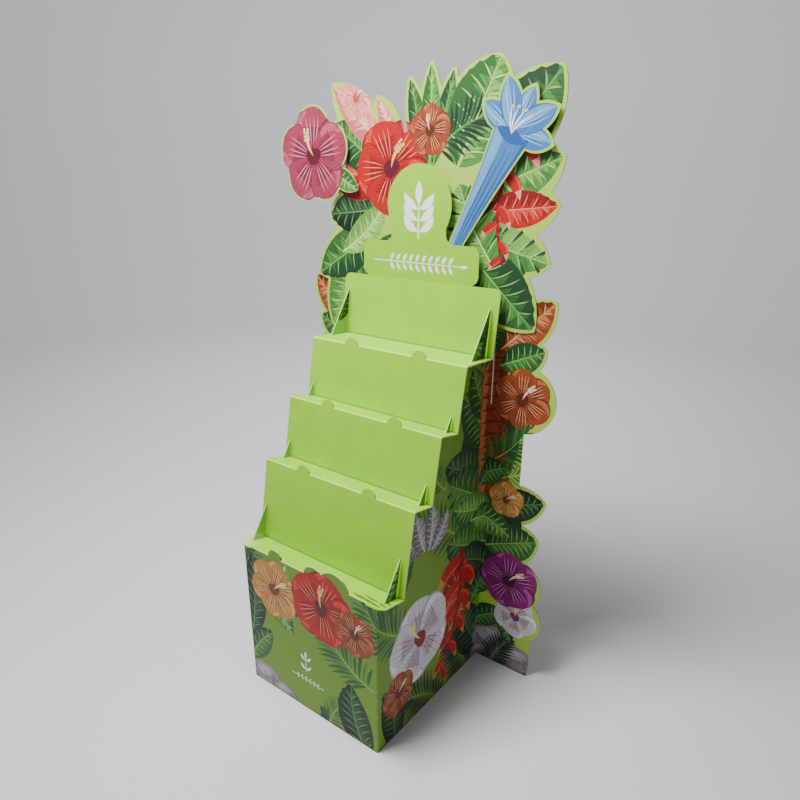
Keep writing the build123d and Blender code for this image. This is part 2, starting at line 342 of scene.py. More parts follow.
@dataclass(frozen=True)
class Blade(Motif):
    """A smooth pointed leaf with a toothed shadow on one side of its midrib and light on the other.

    A toothed edge runs out and back between two shares of the half width. The outer share swings with
    sin(waves t + width), so that leaves of different widths have different teeth.
    """

    stalk: Point
    tip: Point
    width: float
    inks: Inks = Inks.LEAF
    bow: float = 0.0
    veins: int = 6
    teeth: int = 11
    waves: float = 23.0
    lean: float = 0.03
    vein_span: Point = (0.14, 0.8)
    vein_run: float = 0.1
    vein_reach: float = 0.86
    vein_bow: float = 0.06

    def patches(self) -> list[Patch]:
        """Blade, toothed shadow, toothed light, side veins and midrib.

        Returns:
            The patches from the lowest.
        """
        rib = Rib(self.stalk, self.tip, self.bow)
        ink = self.inks.value
        along = np.linspace(0, 1, 2 * self.teeth + 1)
        half = arc_half(along, rib.length, self.width)
        odd = np.arange(along.size) % 2
        ragged = 0.5 + 0.5 * np.sin(along * self.waves + self.width)
        forward = np.clip(along + self.lean * odd, 0, 1)
        made = [rib.band(along, -half, half, ink.base, ink.dark, Pattern.VEINED)]
        inner = half * (0.06 + odd * (0.3 + 0.3 * ragged))
        made.append(rib.band(forward, inner, np.maximum(half * 0.97, inner), ink.dark))
        outer = half * (0.1 + odd * (0.35 + 0.4 * ragged))
        made.append(rib.band(forward, -outer, -0.03 * half, ink.light, ink.base, Pattern.VEINED))
        for share in np.linspace(*self.vein_span, self.veins):
            reach = self.vein_reach * float(np.interp(share + self.vein_run, along, half))
            for side in (-1, 1):
                end = rib.spot(share + self.vein_run, side * reach)
                vein = Rib(rib.spot(share), end, -self.vein_bow * side)
                made.append(vein.lens(0.018 * self.width + 0.9, ink.line))
        made.append(rib.spine(0.014 * self.width + 0.8, ink.line, 0.98))
        return made


@dataclass(frozen=True)
class SplitLeaf(Motif):
    """A broad heart-shaped leaf with deep splits from its edge and holes beside its midrib.

    Its half width is w / 2 sin(pi t^0.72)^0.62, which is broad near the stalk and pointed at the tip.
    """

    stalk: Point
    tip: Point
    width: float
    inks: Inks = Inks.LEAF
    gap: str = "#2B4034"
    bow: float = 0.0
    splits: int = 5
    split_span: Point = (0.12, 0.76)
    samples: int = 41

    def patches(self) -> list[Patch]:
        """Blade, shaded half, veins, splits, holes and midrib.

        Returns:
            The patches from the lowest.
        """
        rib = Rib(self.stalk, self.tip, self.bow)
        ink = self.inks.value
        along = np.linspace(0, 1, self.samples)
        half = self.width / 2 * np.sin(np.pi * along**0.72) ** 0.62
        taper = np.linspace(0, 1, 6)
        open_half = (0.03 * self.width + 1.2) * (1 - taper) ** 0.7
        made = [rib.band(along, -half, half, ink.base, ink.dark, Pattern.VEINED)]
        made.append(rib.band(along, 0.02 * half, 0.98 * half, ink.light, ink.base, Pattern.VEINED))
        for share in np.linspace(*self.split_span, self.splits):
            for side in (-1, 1):
                edge = side * float(np.interp(share + 0.13, along, half))
                vein = Rib(rib.spot(share, 0.05 * side), rib.spot(share + 0.11, 0.9 * edge), -0.05 * side)
                made.append(vein.lens(0.016 * self.width + 0.8, ink.line))
                split = Rib(rib.spot(share + 0.17, 1.04 * edge), rib.spot(share + 0.075, 0.34 * edge))
                made.append(split.band(taper, -open_half, open_half, self.gap))
                hole = Rib(rib.spot(share + 0.05, 0.15 * edge), rib.spot(share + 0.075, 0.27 * edge))
                made.append(hole.lens(0.03 * self.width, self.gap))
        made.append(rib.spine(0.013 * self.width + 0.8, ink.line, 0.98))
        return made


@dataclass(frozen=True)
class Palm(Motif):
    """A feathered frond: slim leaflets in pairs along a bowed stem.

    A leaflet's length is reach (0.35 + 0.65 sin(pi (0.12 + 0.8 t))), and it closes towards the tip.
    """

    stalk: Point
    tip: Point
    reach: float
    inks: Inks = Inks.SHADE
    bow: float = 0.08
    pairs: int = 13
    spread: float = 72.0
    closing: float = 44.0

    def patches(self) -> list[Patch]:
        """Leaflets from the base to the tip, each with a dark line, then the stem.

        Returns:
            The patches from the lowest.
        """
        rib = Rib(self.stalk, self.tip, self.bow)
        ink = self.inks.value
        made = []
        for place, share in enumerate(np.linspace(0.1, 0.97, self.pairs)):
            span = self.reach * (0.35 + 0.65 * math.sin(math.pi * (0.12 + 0.8 * share)))
            root = rib.spot(share)
            for side in (-1, 1):
                turn = rib.facing + side * math.radians(self.spread - self.closing * share)
                leaflet = Rib(root, away(root, turn, span), -0.07 * side)
                tone = ink.base if (place + side) % 3 else ink.light
                made.append(leaflet.lens(0.13 * self.reach, tone))
                made.append(leaflet.lens(0.025 * self.reach, ink.dark, 5))
        made.append(rib.spine(0.02 * self.reach + 0.8, ink.line))
        return made


@dataclass(frozen=True)
class Disc(Motif):
    """A round or oval spot with a slightly uneven rim."""

    middle: Point
    radius: float
    ink: str
    deep: str | None = None
    pattern: Pattern = Pattern.FLAT
    squash: float = 1.0
    uneven: float = 0.0
    sides: int = 24

    def patches(self) -> list[Patch]:
        """One patch: r (1 + uneven (sin(2 a + r) + 0.7 sin 3 a)) round the middle.

        Returns:
            The patch, in a list.
        """
        turn = np.linspace(0, 2 * np.pi, self.sides, endpoint=False)
        waves = np.sin(2 * turn + self.radius) + 0.7 * np.sin(3 * turn)
        reach = self.radius * (1 + self.uneven * waves)
        rim = np.stack([reach * np.cos(turn), self.squash * reach * np.sin(turn)], axis=1)
        middle = np.array(self.middle)
        deep = self.deep or self.ink
        return [Patch(rim + middle, self.ink, deep, self.pattern, middle, np.array([1.0, 0.0]))]


@dataclass(frozen=True)
class Flower(Motif):
    """An open flower: broad petals with a flame at the base, a dark throat and a column of stamens.

    A petal's half width is w / 2 sin(pi t^1.5)^0.6, which is broadest near its end.
    """

    middle: Point
    radius: float
    inks: Inks = Inks.RED
    petals: int = 5
    start: float = 90.0
    fullness: float = 0.95
    throat: str | None = None
    swing: float = 20.0
    samples: int = 27
    flame_end: float = 0.62
    light_span: Point = (0.36, 0.96)
    lines: tuple[float, ...] = (-0.5, -0.2, 0.15, 0.45)
    line_samples: tuple[int, int] = (12, 22)
    anthers: tuple[float, ...] = (0.66, 0.78, 0.9, 1.0)

    def patches(self) -> list[Patch]:
        """Petals in turn, each with light edge, flame and lines, then the throat and the stamens.

        Returns:
            The patches from the lowest.
        """
        ink = self.inks.value
        size = self.radius
        width = self.fullness * 2 * size * math.sin(math.pi / self.petals) + 0.1 * size
        along = np.linspace(0, 1, self.samples)
        half = width / 2 * np.sin(np.pi * along**1.5) ** 0.6
        inner = along <= self.flame_end
        rim = (along >= self.light_span[0]) & (along <= self.light_span[1])
        flame = half[inner] * (0.35 + 0.35 * (np.arange(along.size) % 2)[inner])
        near, far = half[list(self.line_samples)]
        made = []
        for petal in range(self.petals):
            turn = math.radians(self.start + 360.0 * petal / self.petals)
            rib = Rib(self.middle, away(self.middle, turn, size), 0.03)
            low, high = 0.52 * half[rim], 0.82 * half[rim]
            made.append(rib.band(along, -half, half, ink.dark))
            made.append(rib.band(along, -0.96 * half, 0.9 * half, ink.base, ink.dark, Pattern.PETAL))
            made.append(rib.band(along[rim], low, high, ink.light, ink.base, Pattern.PETAL))
            made.append(rib.band(along[inner], -flame, flame, ink.dark, ink.base, Pattern.PETAL))
            for aside in self.lines:
                root = rib.spot(0.2, 0.3 * aside * near)
                line = Rib(root, rib.spot(0.84, aside * far), 0.04 * aside)
                made.append(line.lens(0.016 * size + 0.7, ink.line, 6))
        made += Disc(self.middle, 0.2 * size, self.throat or ink.throat, uneven=0.12).patches()
        turn = math.radians(self.start + self.swing)
        column = Rib(self.middle, away(self.middle, turn, 0.6 * size), 0.1)
        made.append(column.lens(0.07 * size, ink.stamen, 9))
        for share in self.anthers:
            for side in (-1, 1):
                anther = column.spot(share, side * 0.055 * size)
                made += Disc(anther, 0.032 * size, ink.stamen).patches()
        return made


@dataclass(frozen=True)
class Bracts(Motif):
    """A hanging flower spike: stiff pointed bracts that leave the stem to the left and right in turn.

    A bract's half width is a fifth of its length times sin(pi t^0.7)^0.8.
    """

    stalk: Point
    tip: Point
    reach: float
    inks: Inks = Inks.RED
    bow: float = 0.1
    count: int = 9
    end: Inks = Inks.TAN
    end_share: float = 0.7
    spread: float = 52.0
    closing: float = 14.0
    samples: int = 15

    def patches(self) -> list[Patch]:
        """Stem, then each bract with its light upper edge and its end in a second colour.

        Returns:
            The patches from the lowest.
        """
        rib = Rib(self.stalk, self.tip, self.bow)
        ink = self.inks.value
        along = np.linspace(0, 1, self.samples)
        last = along >= self.end_share
        thick = (0.09 * self.reach) * (1 - 0.6 * along)
        made = [rib.band(along, -thick, thick, ink.dark, ink.base, Pattern.MOTTLED)]
        for place, share in enumerate(np.linspace(0.08, 0.96, self.count)):
            side = 1 if place % 2 else -1
            span = self.reach * (1.0 - 0.55 * share)
            turn = rib.facing + side * math.radians(self.spread - self.closing * share)
            root = rib.spot(share)
            bract = Rib(root, away(root, turn, span), 0.12 * side)
            half = 0.2 * span * np.sin(np.pi * along**0.7) ** 0.8
            made.append(bract.band(along, -half, half, ink.base, ink.dark, Pattern.PETAL))
            made.append(bract.band(along, 0.45 * half, 0.85 * half, ink.light))
            made.append(bract.band(along[last], -0.9 * half[last], 0.9 * half[last], self.end.value.base))
        return made


@dataclass(frozen=True)
class Stone(Motif):
    """A rounded stone with a shaded foot and a light top."""

    middle: Point
    radius: float
    squash: float = 0.7
    inks: Inks = Inks.STONE
    uneven: float = 0.05

    def patches(self) -> list[Patch]:
        """Dark foot, body, light top and a crack.

        Returns:
            The patches from the lowest.
        """
        ink = self.inks.value
        x, y = self.middle
        size = self.radius
        flat = self.squash
        body = (x - 0.04 * size, y + 0.08 * size)
        top = (x - 0.12 * size, y + 0.32 * size * flat)
        made = Disc(self.middle, size, ink.dark, None, Pattern.FLAT, flat, self.uneven).patches()
        made += Disc(body, 0.9 * size, ink.base, ink.dark, Pattern.MOTTLED, flat, self.uneven).patches()
        made += Disc(top, 0.55 * size, ink.light, ink.base, Pattern.MOTTLED, 0.7 * flat, 0.08).patches()
        crack = Rib((x + 0.1 * size, y + 0.5 * size * flat), (x + 0.35 * size, y), 0.2)
        made.append(crack.lens(0.05 * size, ink.dark))
        return made


@dataclass(frozen=True)
class Trunk(Motif):
    """A palm trunk with ring scars, which narrows by a quarter."""

    foot: Point
    head: Point
    width: float
    inks: Inks = Inks.RUST
    bow: float = 0.03
    rings: int = 14
    narrowing: float = 0.25

    def patches(self) -> list[Patch]:
        """Trunk, shaded side, light side and the scars across it.

        Returns:
            The patches from the lowest.
        """
        rib = Rib(self.foot, self.head, self.bow)
        ink = self.inks.value
        along = np.linspace(0, 1, 2 * self.rings + 1)
        odd = np.arange(along.size) % 2
        half = self.width / 2 * (1 - self.narrowing * along) * (1 + 0.06 * odd)
        notch = 0.2 * odd * half
        made = [rib.band(along, -half, half, ink.base, ink.dark, Pattern.MOTTLED)]
        made.append(rib.band(along, -0.96 * half, -0.45 * half - notch, ink.dark, ink.base, Pattern.MOTTLED))
        made.append(rib.band(along, 0.3 * half + notch, 0.9 * half, ink.light, ink.base, Pattern.MOTTLED))
        for share, reach in zip(along[1::2], half[1::2]):
            scar = Rib(rib.spot(share, -0.95 * reach), rib.spot(share, 0.95 * reach), 0.1)
            made.append(scar.lens(0.06 * self.width, ink.dark))
        return made


@dataclass(frozen=True)
class Strip(Motif):
    """A straight band in one ink, or of bare paper where the ink stops short."""

    foot: Point
    head: Point
    width: float
    ink: str = WHITE

    def patches(self) -> list[Patch]:
        """One patch: the band between two lines beside the rib.

        Returns:
            The patch, in a list.
        """
        ends = np.array([0.0, 1.0])
        half = np.full(2, self.width / 2)
        return [Rib(self.foot, self.head).band(ends, -half, half, self.ink)]


@dataclass(frozen=True)
class Sprig(Motif):
    """A plain one-colour sprig: a stem with pointed leaves in pairs and one at its end."""

    stalk: Point
    tip: Point
    leaf: float
    pairs: int = 3
    bow: float = 0.0
    spread: float = 48.0
    ink: str = WHITE
    slimness: float = 0.36
    samples: int = 13

    def patches(self) -> list[Patch]:
        """Stem, leaf pairs and end leaf.

        Returns:
            The patches from the lowest.
        """
        rib = Rib(self.stalk, self.tip, self.bow)
        width = self.slimness * self.leaf
        along = np.linspace(0, 1, self.samples)
        thick = 0.035 * self.leaf * (1 - 0.5 * along) + 0.6
        made = [rib.band(along, -thick, thick, self.ink)]
        for share in np.linspace(0.2, 0.86, self.pairs):
            for side in (-1, 1):
                turn = rib.facing + side * math.radians(self.spread)
                root = rib.spot(share, side * 0.02 * self.leaf)
                leaf = Rib(root, away(root, turn, self.leaf), 0.12 * side)
                made.append(leaf.lens(width, self.ink, self.samples))
        last = rib.spot(0.97)
        made.append(Rib(last, away(last, rib.facing, self.leaf)).lens(width, self.ink, self.samples))
        return made


@dataclass(frozen=True)
class Lily(Motif):
    """A long trumpet flower seen from the side: a flaring tube and pointed petals round its mouth.

    Its sizes are those of the cut outline, and the print keeps a plain border inside it. A petal is given
    by its turn from the tube, its length and its width. The tube's half width runs on a parabola through
    its foot, waist and rim.
    """

    foot: Point = (100.0, 70.0)
    heading: float = 61.0
    length: float = 356.0
    widths: Place = (40.0, 66.0, 112.0)
    petals: tuple[Place, ...] = (
        (-78.0, 118.0, 64.0),
        (78.0, 118.0, 64.0),
        (0.0, 116.0, 62.0),
        (-38.0, 132.0, 68.0),
        (38.0, 132.0, 68.0),
    )
    border: float = 4.5
    inks: Inks = Inks.BLUE
    samples: int = 25
    petal_lines: Place = (-0.4, 0.0, 0.4)
    petal_line: float = 2.2
    stripes: Place = (-0.5, -0.1, 0.25)
    stripe: float = 5.0
    throat: float = 34.0
    stamens: tuple[float, ...] = (-24.0, -6.0, 14.0, 30.0)
    stamen_size: Point = (62.0, 4.0)
    anther: float = 5.0
    pollen: str = "#E8C765"

    def patches(self) -> list[Patch]:
        """Petals, each with shadow, light side and lines, then the striped tube, its throat and stamens.

        Returns:
            The patches from the lowest.
        """
        ink = self.inks.value
        way = math.radians(self.heading)
        mouth = away(self.foot, way, self.length)
        along = np.linspace(0, 1, self.samples)
        made = []
        for turn, length, width in self.petals:
            reach = length - 2 * self.border
            petal = Rib(mouth, away(mouth, way + math.radians(turn), reach))
            half = arc_half(along, reach, width - 2 * self.border)
            made.append(petal.band(along, -half, half, ink.dark))
            made.append(petal.band(along, -0.94 * half, 0.9 * half, ink.base, ink.dark, Pattern.PETAL))
            made.append(petal.band(along, 0.1 * half, 0.8 * half, ink.light, ink.base, Pattern.PETAL))
            for aside in self.petal_lines:
                line = Rib(petal.spot(0.1), petal.spot(0.86, aside * half[18]), 0.1 * aside)
                made.append(line.lens(self.petal_line, ink.line))
        tube = Rib(self.foot, mouth)
        foot, waist, rim = np.array(self.widths) / 2 - self.border
        half = foot + (4 * waist - 3 * foot - rim) * along + (2 * rim + 2 * foot - 4 * waist) * along**2
        made.append(tube.band(along, -half, half, ink.dark))
        made.append(tube.band(along, -0.8 * half, half, ink.base, ink.dark, Pattern.PETAL))
        made.append(tube.band(along, 0.3 * half, 0.92 * half, ink.light, ink.base, Pattern.PETAL))
        for aside in self.stripes:
            line = Rib(tube.spot(0.03, aside * half[1]), tube.spot(0.9, aside * half[22]))
            made.append(line.lens(self.stripe, ink.dark, 9))
        throat = Rib(tube.spot(0.97, -0.9 * half[-1]), tube.spot(0.97, 0.9 * half[-1]))
        made.append(throat.lens(self.throat, ink.dark, 15))
        start = tube.spot(0.98)
        reach, width = self.stamen_size
        for turn in self.stamens:
            end = away(start, way + math.radians(turn), reach)
            made.append(Rib(start, end, 0.08).lens(width, WHITE))
            made += Disc(end, self.anther, self.pollen, squash=0.7).patches()
        return made


@dataclass(frozen=True)
class Ramp:
    """A straight run from one value to another between two levels of a pattern, and even beyond them."""

    low: float = 0.0
    high: float = 1.0
    least: float = 0.0
    most: float = 1.0

    def feeds(self, level: Socket) -> dict:
        """What the node that maps a range takes for this run."""
        return {0: level, 1: self.low, 2: self.high, 3: self.least, 4: self.most}


@dataclass(frozen=True)
class SatinFilm:
    """Ink and varnish on coated paper: a satin sheen, fine grain and a faint washboard from the flutes."""

    roughness: float = 0.46
    spread: float = 0.06
    washboard: float = 0.6
    strength: float = 0.12
    relief_mm: float = 0.05
    # Real paper fibres are finer: drawn as coarse as they need to show.
    paper_mm: float = 1.6
    ior: float = 1.5
    specular: float = 0.25

    def grain(self, node: Adder, where: Socket) -> Socket:
        """Noise at the scale of the paper's fibres."""
        return node("TexNoise", {"Vector": where, "Scale": 1 / (self.paper_mm * MM), "Detail": 2.0})[0]

    def coat(self, node: Adder, colour: Socket, grain: Socket, run: Socket, flute: float) -> None:
        """Ends a material: relief = washboard sin(2 pi run / flute) + grain, gloss that follows the grain.

        Args:
            node: adds nodes to the material.
            colour: the finished colour.
            grain: the paper's grain.
            run: the way across the flutes.
            flute: the flutes' spacing, in the run's unit.
        """
        phase = node("Math", {0: run, 1: 2 * math.pi / flute}, operation="MULTIPLY")[0]
        wave = node("Math", {0: phase}, operation="SINE")[0]
        relief = node("Math", {0: wave, 1: self.washboard, 2: grain}, operation="MULTIPLY_ADD")[0]
        height = {"Strength": self.strength, "Distance": self.relief_mm * MM, "Height": relief}
        gloss = {0: grain, 3: self.roughness - self.spread, 4: self.roughness + self.spread}
        feeds = {
            "Base Color": colour,
            "Roughness": node("MapRange", gloss)[0],
            "Normal": node("Bump", height)[0],
            "IOR": self.ior,
            "Specular IOR Level": self.specular,
        }
        node("OutputMaterial", {"Surface": node("BsdfPrincipled", feeds)[0]})


@dataclass(frozen=True)
class PrintedLiner:
    """Coated paper, offset printed and laminated to the board: a satin sheet with crisp ink shapes.

    The eye gets flat inks with darker strokes in them, a faint washboard from the flutes below and pale
    cracked ink along the folds. Each kind of stroke has a width and a length in millimetres, and two levels
    of noise between which its edge lies.
    """

    veins: tuple[float, ...] = (9.0, 81.0, 0.5, 0.56)
    petal_strokes: tuple[float, ...] = (4.5, 81.0, 0.5, 0.62)
    mottle: tuple[float, ...] = (22.0, 22.0, 0.53, 0.57)
    vein_slope: float = 0.75
    depth: float = 0.6
    crack: str = "#D8E3B4"
    crack_mm: float = 3.0
    cracking: Ramp = Ramp(0.46, 0.62)
    match: float = 0.3
    film: SatinFilm = SatinFilm()

    def strokes(self, node: Adder) -> Socket:
        """How much darker ink shows: noise drawn out along each pattern's way and cut to crisp strokes.

        Args:
            node: adds nodes to the material.

        Returns:
            The socket that gives the share.
        """
        kind = node("Attribute", attribute_name="pattern")["Fac"]
        motif = node("UVMap", uv_map="motif")[0]
        forward, left = node("SeparateXYZ", {0: motif})[:2]
        aside = node("Math", {0: left}, operation="ABSOLUTE")[0]
        back = node("Math", {0: aside, 1: -self.vein_slope, 2: forward}, operation="MULTIPLY_ADD")[0]
        runs = (
            (Pattern.VEINED, back, aside, self.veins),
            (Pattern.PETAL, left, forward, self.petal_strokes),
            (Pattern.MOTTLED, forward, left, self.mottle),
        )
        share = 0.0
        for pattern, across, down, (width, length, low, high) in runs:
            fine = node("Math", {0: across, 1: width}, operation="DIVIDE")[0]
            coarse = node("Math", {0: down, 1: length}, operation="DIVIDE")[0]
            spot = node("CombineXYZ", {0: fine, 1: coarse})[0]
            noise = node("TexNoise", {"Vector": spot, "Scale": 1.0, "Detail": 2.0})[0]
            edge = node("MapRange", {0: noise, 1: low, 2: high})[0]
            wanted = {0: kind, 1: float(pattern.value), 2: self.match}
            chosen = node("Math", wanted, operation="COMPARE")[0]
            share = node("Math", {0: edge, 1: chosen, 2: share}, operation="MULTIPLY_ADD")[0]
        return share

    def material(self) -> bpy.types.Material:
        """Makes the liner's material, which reads each mesh's inks, pattern, motif map and sheet map.

        Returns:
            The material.
        """
        made, node = blank_material("offset_printed_liner")
        where = node("TexCoord")["Object"]
        ink, deep = (node("Attribute", attribute_name=name)["Color"] for name in ("ink", "deep"))
        fold = node("Attribute", attribute_name="fold")["Fac"]
        share = node("Math", {0: self.strokes(node), 1: self.depth}, operation="MULTIPLY")[0]
        painted = node("Mix", {0: share, 6: ink, 7: deep}, data_type="RGBA")[2]
        worn = node("TexNoise", {"Vector": where, "Scale": 1 / (self.crack_mm * MM), "Detail": 3.0})[0]
        ragged = node("Math", {0: worn, 1: fold}, operation="MULTIPLY")[0]
        cracked = node("MapRange", self.cracking.feeds(ragged))[0]
        finished = node("Mix", {0: cracked, 6: painted, 7: linear(self.crack)}, data_type="RGBA")[2]
        run = node("SeparateXYZ", {0: node("UVMap", uv_map="sheet")[0]})[0]
        self.film.coat(node, finished, self.film.grain(node, where), run, FLUTE)
        return made


class Lay(Enum):
    """How a node's boards stand: all facing the front, or wrapped round the body."""

    FACING = 0
    WRAPPED = 1


@dataclass(frozen=True)
class RawBoard:
    """Single-wall corrugated board, cut with a steel rule: kraft liners with fibres and an open fluted edge.

    Its medium lies at 1/2 + swing sin(2 pi x / flute) of the thickness, so that every cut shows it.
    """

    name: str
    liner: str
    core: str
    # Painted shade: the darker colour seen in the flutes' hollows.
    gap: str = "#6E5335"
    trimmed: str = "#BFE87C"
    # Real kraft fibres are finer: drawn as coarse as they need to show.
    fibre_mm: float = 1.2
    fibre_stretch: Place = (1.0, 1.0, 0.25)
    cloud_mm: float = 40.0
    fading: Ramp = Ramp(0.12, 0.42, 0.74)
    trim_slope: float = 0.5
    swing: float = 0.34
    medium: float = 0.09
    hollow: float = 0.38
    strength: float = 0.25
    relief_mm: float = 0.06
    roughness: float = 0.82
    ior: float = 1.45

    def round_body(
        self, node: Adder, place: Sequence[Socket], front: float, half_body: float
    ) -> tuple[Socket, Socket]:
        """Where a point lies in a board that runs along the front, the sides and the wings.

        Args:
            node: adds nodes to the material.
            place: the point's coordinates.
            front: depth of the wings' front, in metres.
            half_body: distance of the sides from the middle, in metres.

        Returns:
            The depth below the board's face and the way across its flutes, in metres.
        """
        x, y = place[:2]
        board = BOARD * MM
        panel_end = 0.6 * board
        wing = node("Math", {0: y, 1: front}, operation="SUBTRACT")[0]
        panel = node("Math", {0: y, 1: board / 2}, operation="ADD")[0]
        ahead = node("Math", {0: y, 1: panel_end}, operation="LESS_THAN")[0]
        deep = node("Mix", {0: ahead, 2: wing, 3: panel})[0]
        apart = node("Math", {0: x}, operation="ABSOLUTE")[0]
        inward = node("Math", {0: half_body, 1: apart}, operation="SUBTRACT")[0]
        behind = node("Math", {0: y, 1: panel_end}, operation="GREATER_THAN")[0]
        before = node("Math", {0: y, 1: front}, operation="LESS_THAN")[0]
        beside = node("Math", {0: behind, 1: before}, operation="MULTIPLY")[0]
        return node("Mix", {0: beside, 2: deep, 3: inward})[0], node("Mix", {0: beside, 2: x, 3: y})[0]

    def trim(
        self, node: Adder, place: Sequence[Socket], shown: Socket, front: float, above: float
    ) -> Socket:
        """Colours the upper cut edges ahead of the wings in the ink that reaches over them.

        Args:
            node: adds nodes to the material.
            place: the point's coordinates.
            shown: the colour so far.
            front: depth of the wings' front, in metres.
            above: height from which the edges are pale, in metres.

        Returns:
            The new colour.
        """
        normal = node("NewGeometry")["True Normal"]
        sideways = node("SeparateXYZ", {0: normal})[0]
        steep = node("Math", {0: sideways}, operation="ABSOLUTE")[0]
        tests = (
            (steep, self.trim_slope, "LESS_THAN"),
            (place[2], above, "GREATER_THAN"),
            (place[1], front - 2 * BOARD * MM, "LESS_THAN"),
        )
        share = 1.0
        for value, limit, test in tests:
            passed = node("Math", {0: value, 1: limit}, operation=test)[0]
            share = node("Math", {0: passed, 1: share}, operation="MULTIPLY")[0]
        return node("Mix", {0: share, 6: shown, 7: linear(self.trimmed)}, data_type="RGBA")[2]

    def material(
        self, lay: Lay, front: float, half_body: float = 0.0, trim_above: float | None = None
    ) -> bpy.types.Material:
        """Makes the board's material.

        Args:
            lay: how the boards of the node stand.
            front: depth of the front of a facing board, or of the wings of a wrapped one, in metres.
            half_body: distance of a wrapped board's sides from the middle, in metres.
            trim_above: height from which cut edges ahead of the wings are pale, in metres, or None.

        Returns:
            The material.
        """
        made, node = blank_material(self.name)
        where = node("TexCoord")["Object"]
        place = node("SeparateXYZ", {0: where})
        if lay is Lay.WRAPPED:
            deep, along = self.round_body(node, place, front, half_body)
        else:
            deep, along = node("Math", {0: place[1], 1: front}, operation="SUBTRACT")[0], place[0]
        depth = node("Math", {0: deep, 1: BOARD * MM}, operation="DIVIDE")[0]
        phase = node("Math", {0: along, 1: 2 * math.pi / (FLUTE * MM)}, operation="MULTIPLY")[0]
        wave = node("Math", {0: phase}, operation="SINE")[0]
        medium = node("Math", {0: wave, 1: self.swing, 2: 0.5}, operation="MULTIPLY_ADD")[0]
        paper = node("Math", {0: depth, 1: medium, 2: self.medium}, operation="COMPARE")[0]
        hollow = node("Math", {0: depth, 1: 0.5, 2: self.hollow}, operation="COMPARE")[0]
        stretch = node("Mapping", {"Vector": where, "Scale": self.fibre_stretch})[0]
        fibres = node("TexNoise", {"Vector": stretch, "Scale": 1 / (self.fibre_mm * MM), "Detail": 4.0})[0]
        clouds = node("TexNoise", {"Vector": where, "Scale": 1 / (self.cloud_mm * MM), "Detail": 2.0})[0]
        tint = node("Math", {0: fibres, 1: clouds}, operation="MULTIPLY")[0]
        share = node("MapRange", self.fading.feeds(tint))[0]
        gap, core, liner = (linear(colour) for colour in (self.gap, self.core, self.liner))
        face = node("Mix", {0: share, 6: core, 7: liner}, data_type="RGBA")[2]
        # The medium in the core's colour, and painted shade in the hollows between it and the liners.
        inside = node("Mix", {0: paper, 6: gap, 7: core}, data_type="RGBA")[2]
        shown = node("Mix", {0: hollow, 6: face, 7: inside}, data_type="RGBA")[2]
        if trim_above is not None:
            shown = self.trim(node, place, shown, front, trim_above)
        height = node("Math", {0: fibres, 1: wave}, operation="ADD")[0]
        relief = {"Strength": self.strength, "Distance": self.relief_mm * MM, "Height": height}
        feeds = {
            "Base Color": shown,
            "Roughness": self.roughness,
            "Normal": node("Bump", relief)[0],
            "IOR": self.ior,
        }
        node("OutputMaterial", {"Surface": node("BsdfPrincipled", feeds)[0]})
        return made


@dataclass(frozen=True)
class StepLine:
    """Fold line of the ledges and risers as in the part: lengths and angles from the lowest ledge up."""

    start: Point = (1.7, 487.0)
    ledges: tuple[Point, ...] = ((84.0, 10.5), (78.0, 10.5), (78.0, 10.5), (132.0, 3.0))
    risers: tuple[Point, ...] = ((243.0, 10.5), (186.0, 10.5), (178.0, 10.5), (184.0, 8.0))

    def corners(self) -> np.ndarray:
        """Fold corners: each ledge runs back and down, each riser up and back.

        Returns:
            Depth and height of each corner, as rows.
        """
        steps = []
        for (run, drop), (rise, lean) in zip(self.ledges, self.risers):
            steps.append((run * math.cos(math.radians(drop)), -run * math.sin(math.radians(drop))))
            steps.append((rise * math.sin(math.radians(lean)), rise * math.cos(math.radians(lean))))
        return np.array(self.start) + np.concatenate([np.zeros((1, 2)), np.cumsum(steps, axis=0)])


